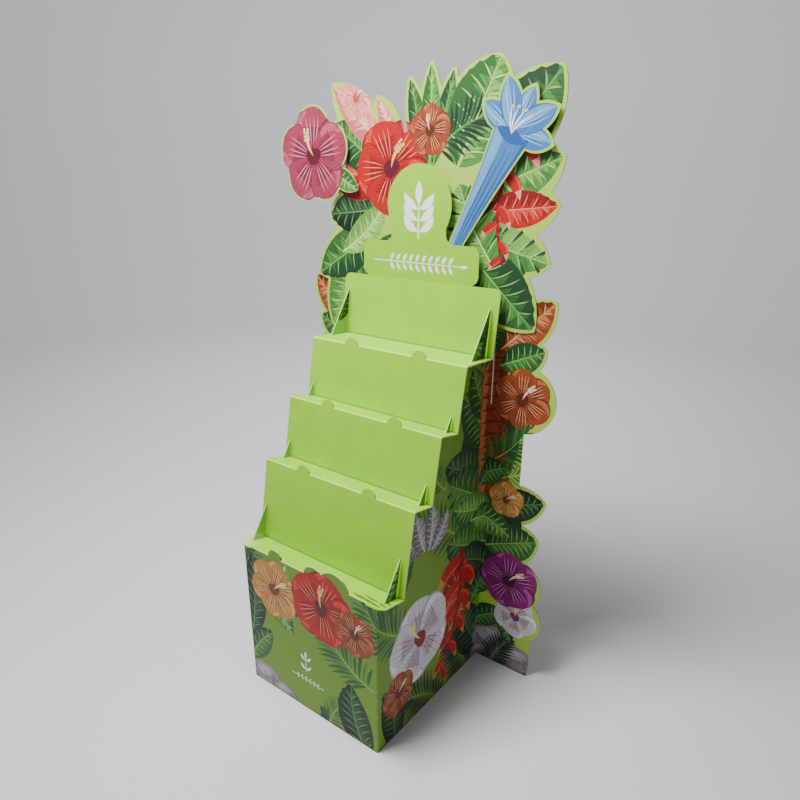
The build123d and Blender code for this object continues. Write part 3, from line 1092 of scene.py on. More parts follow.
@dataclass(frozen=True)
class ShelfPrint:
    """Board flood-printed in one green on its upper side, raw below: satin ink, with worn ink and a painted
    highlight on the ledge fronts.

    The eye gets an even green with a slight cloud in it, painted shade along the creases behind the ledges,
    bright rims on the ledge fronts that are partly rubbed ink and partly a painted highlight, painted
    shade on the cut edges at the stops and one scuffed corner.
    """

    ink: str = "#98D02A"
    # Partly rubbed ink, partly a painted highlight: the pale colour along the ledge fronts.
    rim: str = "#E0FF68"
    edge: str = "#CFE68E"
    scuff: str = "#DCE3AE"
    raw: str = "#B8966A"
    # Painted shade: a darker green along the creases behind the ledges.
    crease: str = "#5F8C16"
    # Painted shade: a dark green on the cut edges beside the stops.
    gap: str = "#4B6A20"
    rim_wear_and_highlight_mm: float = 4.0
    crease_shade_mm: float = 5.0
    crease_shade_share: float = 0.7
    stop_mm: Point = (121.0, 26.0)
    scuff_mm: Place = (-272.0, 2.0, 487.0)
    scuff_reach_mm: float = 62.0
    scuff_share: float = 0.8
    scuff_fade: float = 0.3
    fold_fade: float = 0.4
    mottle_mm: float = 60.0
    wear_mm: float = 6.0
    cloud: Ramp = Ramp(0.3, 0.7, 0.95, 1.04)
    rubbing_and_highlight: Ramp = Ramp(0.35, 0.6, 0.45, 0.9)
    fibre: Ramp = Ramp(0.0, 1.0, 0.85, 1.1)
    upward: Ramp = Ramp(0.38, 0.42)
    downward: Ramp = Ramp(-0.3, -0.4)
    film: SatinFilm = SatinFilm(roughness=0.48)

    def near(self, node: Adder, where: Socket, corners: np.ndarray, reach_mm: float) -> Socket:
        """How near a point is to the nearest of some fold lines: 1 beside it, 0 at the reach.

        Args:
            node: adds nodes to the material.
            where: the point.
            corners: depth and height of each fold line.
            reach_mm: how far from a line the share ends.

        Returns:
            The socket that gives the share.
        """
        section = node("VectorMath", {0: where, 1: (0.0, 1.0, 1.0)}, operation="MULTIPLY")[0]
        reach = reach_mm * MM
        nearest = 0.0
        for depth, height in corners:
            line = {0: section, 1: (0.0, depth * MM, height * MM)}
            apart = node("VectorMath", line, operation="DISTANCE")["Value"]
            share = node("MapRange", Ramp(reach, self.fold_fade * reach).feeds(apart))[0]
            nearest = node("Math", {0: share, 1: nearest}, operation="MAXIMUM")[0]
        return nearest

    def printed(self, node: Adder, where: Socket, stop: Socket) -> Socket:
        """The upper side: an uneven flood, painted shade in the creases, pale ledge fronts that are partly
        rubbed ink and partly a painted highlight, and a scuffed corner.

        Args:
            node: adds nodes to the material.
            where: the point.
            stop: 1 beside the stops, 0 elsewhere.

        Returns:
            The colour.
        """
        folds = StepLine().corners()
        creases = self.near(node, where, folds[1::2], self.crease_shade_mm)
        rim_wear_and_highlight = self.near(node, where, folds[2:-1:2], self.rim_wear_and_highlight_mm)
        clouds = node("TexNoise", {"Vector": where, "Scale": 1 / (self.mottle_mm * MM), "Detail": 3.0})[0]
        wear = node("TexNoise", {"Vector": where, "Scale": 1 / (self.wear_mm * MM), "Detail": 3.0})[0]
        tint = node("MapRange", self.cloud.feeds(clouds))[0]
        patchy = node("MapRange", self.rubbing_and_highlight.feeds(wear))[0]
        # Painted shade along the creases behind the ledges.
        crease_shade = node("Math", {0: creases, 1: self.crease_shade_share}, operation="MULTIPLY")[0]
        # Pale ledge fronts, except beside the stops: partly rubbed ink, partly a painted highlight.
        folded = node("Math", {0: rim_wear_and_highlight, 1: stop}, operation="SUBTRACT", use_clamp=True)[0]
        pale = node("Math", {0: folded, 1: patchy}, operation="MULTIPLY")[0]
        corner = tuple(MM * value for value in self.scuff_mm)
        apart = node("VectorMath", {0: where, 1: corner}, operation="DISTANCE")["Value"]
        reach = self.scuff_reach_mm * MM
        closing = Ramp(reach, self.scuff_fade * reach, 0.0, self.scuff_share)
        close = node("MapRange", closing.feeds(apart))[0]
        rubbed = node("Math", {0: close, 1: patchy}, operation="MULTIPLY")[0]
        colour = node("VectorMath", {0: linear(self.ink)[:3], 3: tint}, operation="SCALE")[0]
        for share, over in ((crease_shade, self.crease), (pale, self.rim), (rubbed, self.scuff)):
            colour = node("Mix", {0: share, 6: colour, 7: linear(over)}, data_type="RGBA")[2]
        return colour

    def bare(self, node: Adder, grain: Socket, stop: Socket, under: Socket) -> Socket:
        """Cut edges, with painted shade beside the stops, and the raw lower side.

        Args:
            node: adds nodes to the material.
            grain: the paper's grain.
            stop: 1 beside the stops, 0 elsewhere.
            under: 1 on the lower side, 0 on the cut edges.

        Returns:
            The colour.
        """
        fibre = node("MapRange", self.fibre.feeds(grain))[0]
        kraft = node("VectorMath", {0: linear(self.raw)[:3], 3: fibre}, operation="SCALE")[0]
        cut = node("VectorMath", {0: linear(self.edge)[:3], 3: fibre}, operation="SCALE")[0]
        # Painted shade on the cut edges beside the stops.
        cut = node("Mix", {0: stop, 6: cut, 7: linear(self.gap)}, data_type="RGBA")[2]
        return node("Mix", {0: under, 6: cut, 7: kraft}, data_type="RGBA")[2]

    def material(self) -> bpy.types.Material:
        """Makes the shelf sheet's material: printed where a face looks up or forward, bare elsewhere.

        Returns:
            The material.
        """
        made, node = blank_material("flood_printed_board")
        where = node("TexCoord")["Object"]
        normal = node("NewGeometry")["True Normal"]
        slant = (0.0, -math.sqrt(0.5), math.sqrt(0.5))
        facing = node("VectorMath", {0: normal, 1: slant}, operation="DOT_PRODUCT")["Value"]
        upper = node("MapRange", self.upward.feeds(facing))[0]
        under = node("MapRange", self.downward.feeds(facing))[0]
        grain = self.film.grain(node, where)
        across = node("SeparateXYZ", {0: where})[0]
        apart = node("Math", {0: across}, operation="ABSOLUTE")[0]
        middle, reach = self.stop_mm
        stop = node("Math", {0: apart, 1: middle * MM, 2: reach * MM}, operation="COMPARE")[0]
        sides = {6: self.bare(node, grain, stop, under), 7: self.printed(node, where, stop)}
        shown = node("Mix", {0: upper, **sides}, data_type="RGBA")[2]
        self.film.coat(node, shown, grain, across, FLUTE * MM)
        return made


def pulled(items: bpy.types.bpy_prop_collection, name: str, width: int, kind: type) -> np.ndarray:
    """Reads one property of all the items of a mesh.

    Args:
        items: the vertices, loops, polygons or triangles.
        name: the property.
        width: how many numbers each item has.
        kind: the numbers' type.

    Returns:
        One row for each item.
    """
    values = np.empty(width * len(items), kind)
    items.foreach_get(name, values)
    return values.reshape(len(items), width)


def face_outlines(
    node: bpy.types.Object,
    normal: Sequence[float],
    reach: float,
    merge: float = 0.01 * MM,
    flush: float = 0.05 * MM,
) -> list[np.ndarray]:
    """Outlines of a flat face of a CAD node: the edges that only one of its triangles has, end to end.

    Args:
        node: the CAD node's object.
        normal: the way the face looks.
        reach: how far the face lies along its normal, in metres.
        merge: points this near are one, in metres.
        flush: how far a triangle of the face may lie from it, in metres.

    Returns:
        The closed outlines as rows of points, in metres.
    """
    mesh = node.data
    mesh.calc_loop_triangles()
    places = pulled(mesh.vertices, "co", 3, np.float32).astype(float)
    triangles = pulled(mesh.loop_triangles, "vertices", 3, np.int32)
    _, first, merged = np.unique(np.round(places / merge), axis=0, return_index=True, return_inverse=True)
    places = places[first]
    triangles = merged.ravel()[triangles]
    corners = places[triangles]
    cross = np.cross(corners[:, 1] - corners[:, 0], corners[:, 2] - corners[:, 0])
    size = np.maximum(np.linalg.norm(cross, axis=1), np.finfo(float).tiny)
    facing = (cross / size[:, None]) @ np.array(normal) > 0.999
    level = np.abs(corners.mean(axis=1) @ np.array(normal) - reach) < flush
    kept = triangles[facing & level]
    edges = {(int(a), int(b)) for trio in kept for a, b in zip(trio, np.roll(trio, -1))}
    follow = {a: b for a, b in edges if (b, a) not in edges}
    outlines = []
    while follow:
        start, step = follow.popitem()
        chain = [start]
        while step != start:
            chain.append(step)
            step = follow.pop(step)
        outlines.append(places[chain])
    return outlines


def anticlockwise(points: np.ndarray) -> np.ndarray:
    """Turns a closed outline round if it runs clockwise: if the sum of its cross products is negative.

    Args:
        points: the outline's corners as rows.

    Returns:
        The corners in anticlockwise order.
    """
    x, y = points.T
    area = np.sum(x * np.roll(y, -1) - y * np.roll(x, -1))
    return points if area > 0 else points[::-1]


def covered(spots: np.ndarray, loop: np.ndarray) -> np.ndarray:
    """Which spots lie inside a closed outline: a level ray from each one crosses it an odd number of times.

    Args:
        spots: points as rows.
        loop: the outline's corners as rows.

    Returns:
        One truth value for each spot.
    """
    near = np.flatnonzero(np.all((spots >= loop.min(axis=0)) & (spots <= loop.max(axis=0)), axis=1))
    x, y = spots[near].T
    odd = np.zeros(len(near), bool)
    for (from_x, from_y), (to_x, to_y) in zip(loop, np.roll(loop, -1, axis=0)):
        if from_y != to_y:
            reach = from_x + (to_x - from_x) * (y - from_y) / (to_y - from_y)
            odd ^= ((from_y > y) != (to_y > y)) & (x < reach)
    held = np.zeros(len(spots), bool)
    held[near] = odd
    return held


def joined(
    flat: np.ndarray, triangles: np.ndarray, top: np.ndarray, band: np.ndarray, bend: float = 1.0
) -> tuple[np.ndarray, np.ndarray, np.ndarray]:
    """Joins neighbouring triangles of one patch, so that edges which other patches hide leave no faces.

    Args:
        flat: points on the sheet.
        triangles: corners of each triangle.
        top: topmost patch of each triangle.
        band: which flat stretch of the sheet, between the lines where it turns, holds each triangle.
        bend: an outline's corners that turn by less are left out, in degrees.

    Returns:
        The points, the triangles that are left, and their topmost patches.
    """
    pairs, label = np.unique(np.stack([band, top], axis=1), axis=0, return_inverse=True)
    mesh = bpy.data.meshes.new("flat_sheet")
    mesh.from_pydata(np.column_stack([flat, np.zeros(len(flat))]).tolist(), [], triangles.tolist())
    mesh.polygons.foreach_set("material_index", label.ravel().astype(np.int32))
    sheet = bmesh.new()
    sheet.from_mesh(mesh)
    parts = {"verts": sheet.verts, "edges": sheet.edges}
    bmesh.ops.dissolve_limit(sheet, angle_limit=math.radians(bend), delimit={"MATERIAL"}, **parts)
    bmesh.ops.triangulate(sheet, faces=sheet.faces)
    sheet.to_mesh(mesh)
    sheet.free()
    places = pulled(mesh.vertices, "co", 3, np.float32)[:, :2].astype(float)
    corners = pulled(mesh.loops, "vertex_index", 1, np.int32).reshape(-1, 3)
    kept = pulled(mesh.polygons, "material_index", 1, np.int32).ravel()
    bpy.data.meshes.remove(mesh)
    return places, corners, pairs[kept, 1]


@dataclass
class PrintSheet:
    """A printed liner: outlines and motifs on a flat sheet, cut into one mesh and carried onto the panels."""

    name: str
    outlines: list[np.ndarray]
    place: Callable[[np.ndarray], np.ndarray]
    patches: list[Patch]
    creases: list[np.ndarray] = field(default_factory=list)
    windows: list[np.ndarray] = field(default_factory=list)
    ground: str = GROUND
    worn: Callable[[np.ndarray], np.ndarray] | None = None
    thickness: float = 0.18 * MM
    snap: float = 0.002

    def shown(self) -> list[Patch]:
        """The patches that reach into the box round the outlines.

        Returns:
            Those patches, in their order.
        """
        low = np.min([loop.min(axis=0) for loop in self.outlines], axis=0)
        high = np.max([loop.max(axis=0) for loop in self.outlines], axis=0)
        solid = [patch for patch in self.patches if len(patch.points) > 2]
        boxes = [(patch, patch.points.min(axis=0), patch.points.max(axis=0)) for patch in solid]
        return [patch for patch, least, most in boxes if np.all(most > low) and np.all(least < high)]

    def cut(self, shown: list[Patch]) -> tuple[np.ndarray, np.ndarray, np.ndarray]:
        """Cuts the sheet along every outline, crease and motif edge.

        Args:
            shown: the patches, the first one lowest.

        Returns:
            Points on the sheet, triangles, and the place of each triangle's topmost patch in the list, or -1
            for the bare ground.
        """
        loops = self.outlines + self.windows + [patch.points for patch in shown]
        loops = [anticlockwise(loop) for loop in loops]
        counts = np.array([len(loop) for loop in loops])
        starts = np.concatenate([[0], np.cumsum(counts)])
        faces = [list(range(start, start + count)) for start, count in zip(starts, counts)]
        first = int(starts[-1])
        lines = [(start, start + 1) for start in range(first, first + 2 * len(self.creases), 2)]
        points = np.concatenate(loops + self.creases).tolist()
        made, _, triangles, _, _, owners = delaunay_2d_cdt(points, lines, faces, 1, self.snap, True)
        flat = np.array([spot[:] for spot in made])
        triangles = np.array(triangles)
        middles = flat[triangles].mean(axis=1)
        inside = np.any([covered(middles, loop) for loop in self.outlines], axis=0)
        if self.windows:
            inside &= np.any([covered(middles, loop) for loop in self.windows], axis=0)
        boxes = np.array([(loop.min(axis=0), loop.max(axis=0)) for loop in loops])
        holder = np.array([one for owner in owners for one in owner])
        held = np.repeat(np.arange(len(owners)), [len(owner) for owner in owners])
        spots = middles[held]
        within = np.all((spots >= boxes[holder, 0]) & (spots <= boxes[holder, 1]), axis=1)
        top = np.full(len(owners), -1)
        np.maximum.at(top, held[within], holder[within] - len(self.outlines) - len(self.windows))
        bends = np.unique([line[0, 0] for line in self.creases])
        band = np.searchsorted(bends, middles[inside, 0])
        return joined(flat, triangles[inside], np.maximum(top[inside], -1), band)

    def ink(self, mesh: bpy.types.Mesh, flat: np.ndarray, corners: np.ndarray, owners: list[Patch]) -> None:
        """Gives the mesh its inks, its pattern and its wear.

        Args:
            mesh: the liner's mesh.
            flat: its points on the sheet.
            corners: place of each face corner's patch in the list.
            owners: the patches.
        """
        for name, colours in (("ink", [one.ink for one in owners]), ("deep", [one.deep for one in owners])):
            table = np.array([linear(colour) for colour in colours], np.float32)
            layer = mesh.attributes.new(name, "FLOAT_COLOR", "CORNER")
            layer.data.foreach_set("color", table[corners].ravel())
        kinds = np.array([one.pattern.value for one in owners], np.float32)
        mesh.attributes.new("pattern", "FLOAT", "CORNER").data.foreach_set("value", kinds[corners])
        fold = np.zeros(len(flat)) if self.worn is None else self.worn(flat)
        mesh.attributes.new("fold", "FLOAT", "POINT").data.foreach_set("value", fold.astype(np.float32))

    def build(self, material: bpy.types.Material) -> None:
        """Makes the liner's mesh, gives it its inks and maps, and lets it ride on the body.

        The motif map runs along each patch's own line and across it, and the sheet map over the flat sheet,
        both in millimetres.

        Args:
            material: the printed liner's material.
        """
        shown = self.shown()
        flat, triangles, top = self.cut(shown)
        used, triangles = np.unique(triangles, return_inverse=True)
        flat, triangles = flat[used], triangles.reshape(-1, 3)
        mesh = bpy.data.meshes.new(self.name)
        mesh.from_pydata(self.place(flat).tolist(), [], triangles.tolist())
        level = np.array([1.0, 0.0])
        owners = [*shown, Patch(flat[:0], self.ground, self.ground, Pattern.FLAT, np.zeros(2), level)]
        owner = np.repeat(top, 3)
        self.ink(mesh, flat, owner, owners)
        spots = flat[triangles.ravel()]
        offset = spots - np.array([one.origin for one in owners])[owner]
        headings = np.array([one.heading for one in owners])[owner]
        forward = np.sum(offset * headings, axis=1)
        aside = offset[:, 1] * headings[:, 0] - offset[:, 0] * headings[:, 1]
        for name, values in (("motif", np.stack([forward, aside], axis=1)), ("sheet", spots)):
            mesh.uv_layers.new(name=name).data.foreach_set("uv", values.astype(np.float32).ravel())
        mesh.materials.append(material)
        mesh.update()
        piece = bpy.data.objects.new(self.name, mesh)
        bpy.context.scene.collection.objects.link(piece)
        wall = piece.modifiers.new("paper", "SOLIDIFY")
        wall.thickness = self.thickness
        wall.offset = -1.0
        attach(piece, "root")
        LOG.info("%s: %d triangles, %d patches", self.name, len(triangles), len(shown))


@dataclass(frozen=True)
class FrontSheet:
    """The sheet of a board that faces the front: x runs across it, y up from the crease below the sign."""

    front: float
    crease: float

    def place(self, flat: np.ndarray) -> np.ndarray:
        """Carries the sheet onto the board's front: across, fixed depth, up from the crease.

        Args:
            flat: points on the sheet, in millimetres.

        Returns:
            Points in the part's frame, in metres.
        """
        depth = np.full(len(flat), self.front - LIFT)
        return np.stack([flat[:, 0], depth, flat[:, 1] + self.crease], axis=1) * MM

    def cover(
        self, node: bpy.types.Object, name: str, motifs: Sequence[Motif], liner: bpy.types.Material
    ) -> None:
        """Covers a node's whole front with a printed liner.

        Args:
            node: the CAD node's object.
            name: the liner's name.
            motifs: its artwork, the lowest first.
            liner: the printed liner's material.
        """
        loops = face_outlines(node, (0, -1, 0), -self.front * MM)
        outlines = [np.stack([loop[:, 0] / MM, loop[:, 2] / MM - self.crease], axis=1) for loop in loops]
        PrintSheet(name, outlines, self.place, drawn(motifs), ground=BORDER_GROUND).build(liner)


@dataclass
class BodyWrap:
    """The wrap round the body: front, stepped sides with fins, and wings, printed as one flat sheet.

    On the sheet, 0 is the front's right-hand fold. The front lies left of it, the right side and wing right.
    """

    node: bpy.types.Object
    width: float = 505.0
    corner: float = 4.0
    corner_lines: int = 5
    wing_reach: float = 220.0
    wing_top: float = 1300.0
    foot_rise: float = 3.2
    foot_ink: str = "#43260F"
    scuff_inks: tuple[str, str] = ("#BFC3A2", "#A2A985")
    scuff_radius: float = 26.0
    scuff_from_fold: Point = (-36.0, 2.0)
    fin_leaf: float = 70.0
    fin_leaf_from_fold: tuple[Point, Point] = ((-40.0, 42.0), (20.0, 160.0))

    @property
    def half(self) -> float:
        """Distance of the side panels from the middle."""
        return self.width / 2

    @property
    def wing_front(self) -> float:
        """Depth of the wings' front."""
        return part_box(self.node.name)[1].y / MM - BOARD

    @property
    def wing_fold(self) -> float:
        """Place of the right-hand wing fold on the sheet."""
        return self.wing_front + BOARD / 2

    def place(self, flat: np.ndarray) -> np.ndarray:
        """Carries the sheet onto the panels: straight runs, and a quarter circle round each front corner.

        Args:
            flat: points on the sheet, in millimetres.

        Returns:
            Points in the part's frame, in metres.
        """
        left = flat[:, 0] < -self.half
        run = np.where(left, -self.width - flat[:, 0], flat[:, 0])
        front = -BOARD / 2
        turn = np.clip((run + self.corner) / (2 * self.corner), 0, 1) * np.pi / 2
        radius = self.corner + LIFT
        x = np.where(run < -self.corner, self.half + run, self.half - self.corner + radius * np.sin(turn))
        y = np.where(run > self.corner, run + front, front + self.corner - radius * np.cos(turn))
        wing = run > self.wing_fold - 0.01
        x = np.where(wing, self.half + LIFT + np.maximum(run - self.wing_fold, 0), x)
        y = np.where(wing, self.wing_front - LIFT, y)
        return np.stack([np.where(left, -x, x), y, flat[:, 1]], axis=1) * MM

    def worn(self, flat: np.ndarray) -> np.ndarray:
        """How near each point is to a front fold: 1 on it, 0 where the board is flat again."""
        apart = np.minimum(np.abs(flat[:, 0]), np.abs(flat[:, 0] + self.width))
        return np.clip(1 - apart / self.corner, 0, 1)

    def outlines(self) -> tuple[list[np.ndarray], list[np.ndarray]]:
        """Lays the panels' faces out on the sheet, the left ones as mirrored right ones.

        Returns:
            Outlines of the panels, and the lines along which the sheet turns at the corners and wings.
        """
        front = face_outlines(self.node, (0, -1, 0), BOARD / 2 * MM)
        side = face_outlines(self.node, (1, 0, 0), self.half * MM)
        back = face_outlines(self.node, (0, -1, 0), -self.wing_front * MM)
        wing = [loop for loop in back if loop[:, 0].mean() > 0]
        middle = [np.stack([loop[:, 0] / MM - self.half, loop[:, 2] / MM], axis=1) for loop in front]
        right = [np.stack([loop[:, 1] / MM + BOARD / 2, loop[:, 2] / MM], axis=1) for loop in side]
        shift = self.wing_fold - self.half
        right += [np.stack([loop[:, 0] / MM + shift, loop[:, 2] / MM], axis=1) for loop in wing]
        edge = middle[0][np.abs(middle[0][:, 0] + self.corner) < 0.1]
        top = edge[:, 1].max()
        turn = self.corner
        right.append(np.array([(-turn, 0.0), (turn, 0.0), (turn, top), (-turn, top)]))
        turns = [*np.linspace(-turn, turn, self.corner_lines), self.wing_fold]
        lines = [np.array([(turn, 0.0), (turn, top)]) for turn in turns]
        flip = np.array([-1.0, 1.0])
        about = np.array([-self.width, 0.0])
        left = [loop * flip + about for loop in right]
        return middle + right + left, lines + [line * flip + about for line in lines]

    def front_motifs(self) -> list[Motif]:
        """Artwork of the front panel.

        Returns:
            The motifs from the lowest.
        """
        return [
            Blade((-505, 150), (-470, 470), 104, Inks.NIGHT, -0.04, 8),
            Blade((-520, 60), (-404, 214), 92, Inks.SHADE, 0.06),
            Palm((-10, 210), (-172, 330), 104, Inks.SHADE, 0.12),
            Palm((-190, -40), (-130, 92), 62, Inks.SHADE, 0.08, 11),
            Blade((-20, -50), (-92, 190), 122, Inks.NIGHT, 0.1, 8),
            Blade((-430, 360), (-318, 250), 84, Inks.LEAF, 0.06),
            SplitLeaf((-300, 440), (-214, 300), 130, Inks.LEAF),
            Blade((-330, 480), (-420, 290), 76, Inks.YOUNG, 0.05),
            Flower((-384, 378), 100, Inks.TAN, 6, 12.0, 0.84),
            Blade((-150, 420), (-22, 318), 96, Inks.SHADE, -0.06),
            Blade((-120, 440), (-66, 282), 72, Inks.LEAF, 0.06),
            Flower((-196, 396), 116, Inks.RED, 5, 66.0, 0.94),
            Flower((-76, 366), 70, Inks.RUST, 5, 40.0, 0.9),
            Stone((-448, 30), 66),
            Stone((-368, 8), 52, 0.62),
            Sprig((-268, 138), (-268, 188), 26, 2),
            Sprig((-330, 108), (-206, 108), 11, 6, 0.03, 55.0),
        ]

    def side_motifs(self) -> list[Motif]:
        """Artwork of the right-hand side panel and wing, from the lowest.

        Returns:
            The motifs.
        """
        fold = self.wing_fold
        night = Inks.NIGHT.value
        border = fold + self.wing_reach / 2
        return [
            Strip((border, 0), (border, self.wing_top), self.wing_reach, BORDER_GROUND),
            # Two dark blobs over the wing fold: dark foliage of the print and painted shade in the inner
            # corner between side and wing.
            Disc((fold - 20, 470), 150, night.base, night.dark, Pattern.MOTTLED, 1.3, 0.08),
            Disc((fold - 30, 760), 120, night.base, night.dark, Pattern.MOTTLED, 1.5, 0.08),
            Palm((420, 470), (130, 640), 104, Inks.SHADE, -0.1, 15),
            Palm((300, 700), (210, 850), 62, Inks.SHADE, 0.1),
            Blade((540, 690), (300, 770), 140, Inks.NIGHT, 0.05, 8),
            Blade((520, 760), (372, 950), 150, Inks.SHADE, -0.05, 8),
            SplitLeaf((500, 600), (318, 706), 160, Inks.SHADE, night.dark),
            Blade((530, 850), (420, 1020), 104, Inks.SHADE, 0.08),
            Trunk((fold + 20, 600), (fold + 4, 1130), 124),
            Blade((560, 560), (352, 612), 116, Inks.LEAF, 0.06, 8),
            Blade((560, 430), (322, 520), 150, Inks.SHADE, 0.05, 8),
            Blade((560, 340), (366, 430), 120, Inks.NIGHT, -0.06, 8),
            Blade((380, 1010), (500, 1130), 104, Inks.LEAF, 0.05, 3),
            Blade((436, 1084), (520, 1200), 84, Inks.NIGHT, -0.05, 3),
            Blade((110, 640), (34, 440), 150, Inks.LEAF, 0.04, 2),
            Palm((150, 560), (26, 470), 74, Inks.SHADE, 0.06, 7),
            Palm((200, 300), (-36, 470), 104, Inks.SHADE, 0.1, 15),
            Palm((330, -60), (96, 96), 104, Inks.NIGHT, -0.1, 15),
            Palm((480, -60), (330, 170), 116, Inks.NIGHT, -0.08, 15),
            Blade((70, -50), (26, 190), 104, Inks.NIGHT, -0.1, 8),
            Blade((560, 10), (420, 270), 150, Inks.NIGHT, 0.08, 8),
            Blade((300, 210), (430, 420), 130, Inks.RED, 0.05),
            Blade((330, 190), (452, 300), 96, Inks.RUST, -0.05),
            Bracts((400, 470), (300, 60), 150, Inks.RED, 0.1, 10),
            Blade((196, 560), (116, 640), 70, Inks.STONE, 0.1),
            Blade((210, 548), (166, 676), 70, Inks.STONE, 0.05),
            Blade((226, 544), (240, 680), 66, Inks.STONE, -0.05),
            Blade((240, 540), (316, 636), 64, Inks.STONE, -0.08),
            Flower((196, 270), 142, Inks.LILAC, 5, 100.0, 0.92),
            Flower((96, 142), 72, Inks.RUST, 5, 20.0, 0.88),
            *self.wing_motifs(fold),
        ]

    def wing_motifs(self, fold: float) -> list[Motif]:
        """Artwork of the right-hand wing, placed from the wing fold.

        Args:
            fold: place of the fold on the sheet.

        Returns:
            The motifs from the lowest.
        """
        return [
            Blade((fold + 20, 1050), (fold + 166, 1190), 104, Inks.RUST),
            Blade((fold + 20, 1004), (fold + 150, 1062), 88, Inks.SHADE),
            Blade((fold - 60, 1000), (fold + 30, 1120), 84, Inks.SHADE, 0.08),
            Flower((fold + 96, 918), 90, Inks.RUST, 6, 30.0, 0.85),
            Palm((fold - 30, 690), (fold + 112, 820), 84, Inks.SHADE, -0.08),
            Blade((fold + 10, 560), (fold + 188, 622), 106, Inks.NIGHT, veins=8),
            Palm((fold + 6, 640), (fold + 150, 700), 60, Inks.LEAF, 0.05, 11),
            Blade((fold - 40, 640), (fold + 60, 700), 84, Inks.SHADE, 0.06),
            Blade((fold + 10, 425), (fold + 176, 492), 124, Inks.SHADE, veins=8),
            Blade((fold - 80, 540), (fold + 90, 480), 104, Inks.LEAF, 0.06, 8),
            Flower((fold + 70, 600), 58, Inks.TAN, 5, 10.0, 0.85),
            Stone((fold + 60, 70), 92, 0.8),
            Stone((fold + 150, 46), 60, 0.85),
            Stone((fold + 20, 18), 58, 0.6),
            Palm((fold + 40, -50), (fold + 110, 96), 74, Inks.NIGHT, 0.06),
            Blade((fold - 30, 120), (fold + 92, 200), 84, Inks.SHADE, 0.06),
            Blade((fold - 60, 230), (fold + 50, 330), 90, Inks.SHADE, 0.06),
            Blade((fold + 60, 210), (fold + 120, 96), 60, Inks.SHADE, 0.06),
            Flower((fold + 130, 205), 76, Inks.LILAC, 5, 54.0, 0.86, "#7A2B62"),
            Flower((fold + 100, 326), 98, Inks.MAGENTA, 5, 18.0, 0.94),
        ]

    def foot(self, outlines: list[np.ndarray]) -> Strip:
        """A dark brown line along the lower edge, where the board stands on the floor."""
        every = np.concatenate(outlines)[:, 0]
        return Strip((every.min(), 0.0), (every.max(), 0.0), 2 * self.foot_rise, self.foot_ink)

    def dress(self, liner: bpy.types.Material) -> None:
        """Covers the outside of the wrap and the inside of its fins with printed liners.

        Args:
            liner: the printed liner's material.
        """
        outlines, lines = self.outlines()
        side = drawn(self.side_motifs())
        mirrored = [patch.flipped(-self.half) for patch in side]
        patches = mirrored + side + drawn([*self.front_motifs(), self.foot(outlines)])
        PrintSheet("wrap_print", outlines, self.place, patches, lines, worn=self.worn).build(liner)
        for name, way in (("left_fin_liners", 1), ("right_fin_liners", -1)):
            self.line_fins(name, way, liner)

    def place_inside(self, way: int, flat: np.ndarray) -> np.ndarray:
        """Carries a sheet onto the fins' inner faces.

        Args:
            way: 1 for the left fins, which look right, and -1 for the right ones.
            flat: points on the sheet, in millimetres.

        Returns:
            Points in the part's frame, in metres.
        """
        across = np.full(len(flat), -way * (self.half - BOARD - LIFT))
        return np.stack([across, way * flat[:, 0], flat[:, 1]], axis=1) * MM

    def line_fins(self, name: str, way: int, liner: bpy.types.Material) -> None:
        """Lines one side's fins above the stepped sheet: a scuffed foot on the lowest, a leaf on the highest.

        Args:
            name: the liner's name.
            way: 1 for the left fins, which look right, and -1 for the right ones.
            liner: the printed liner's material.
        """
        steps = StepLine().corners()
        ahead = steps[0, 0] - 3 * BOARD
        window = np.concatenate([steps, [(ahead, steps[-1, 1]), (ahead, steps[0, 1])]])
        loops = face_outlines(self.node, (way, 0, 0), -(self.half - BOARD) * MM)
        outlines = [np.stack([way * loop[:, 1], loop[:, 2]], axis=1) / MM for loop in loops]
        low, high = steps[1], steps[7]
        stalk, tip = ((way * (high[0] + x), high[1] + y) for x, y in self.fin_leaf_from_fold)
        x, y = self.scuff_from_fold
        scuff = (way * (low[0] + x), low[1] + y)
        patches = drawn(
            [
                Disc(scuff, self.scuff_radius, *self.scuff_inks, Pattern.MOTTLED),
                Blade(stalk, tip, self.fin_leaf, Inks.NIGHT),
            ]
        )
        place = partial(self.place_inside, way)
        windows = [window * np.array([way, 1.0])]
        PrintSheet(name, outlines, place, patches, windows=windows, ground=FIN_GROUND).build(liner)


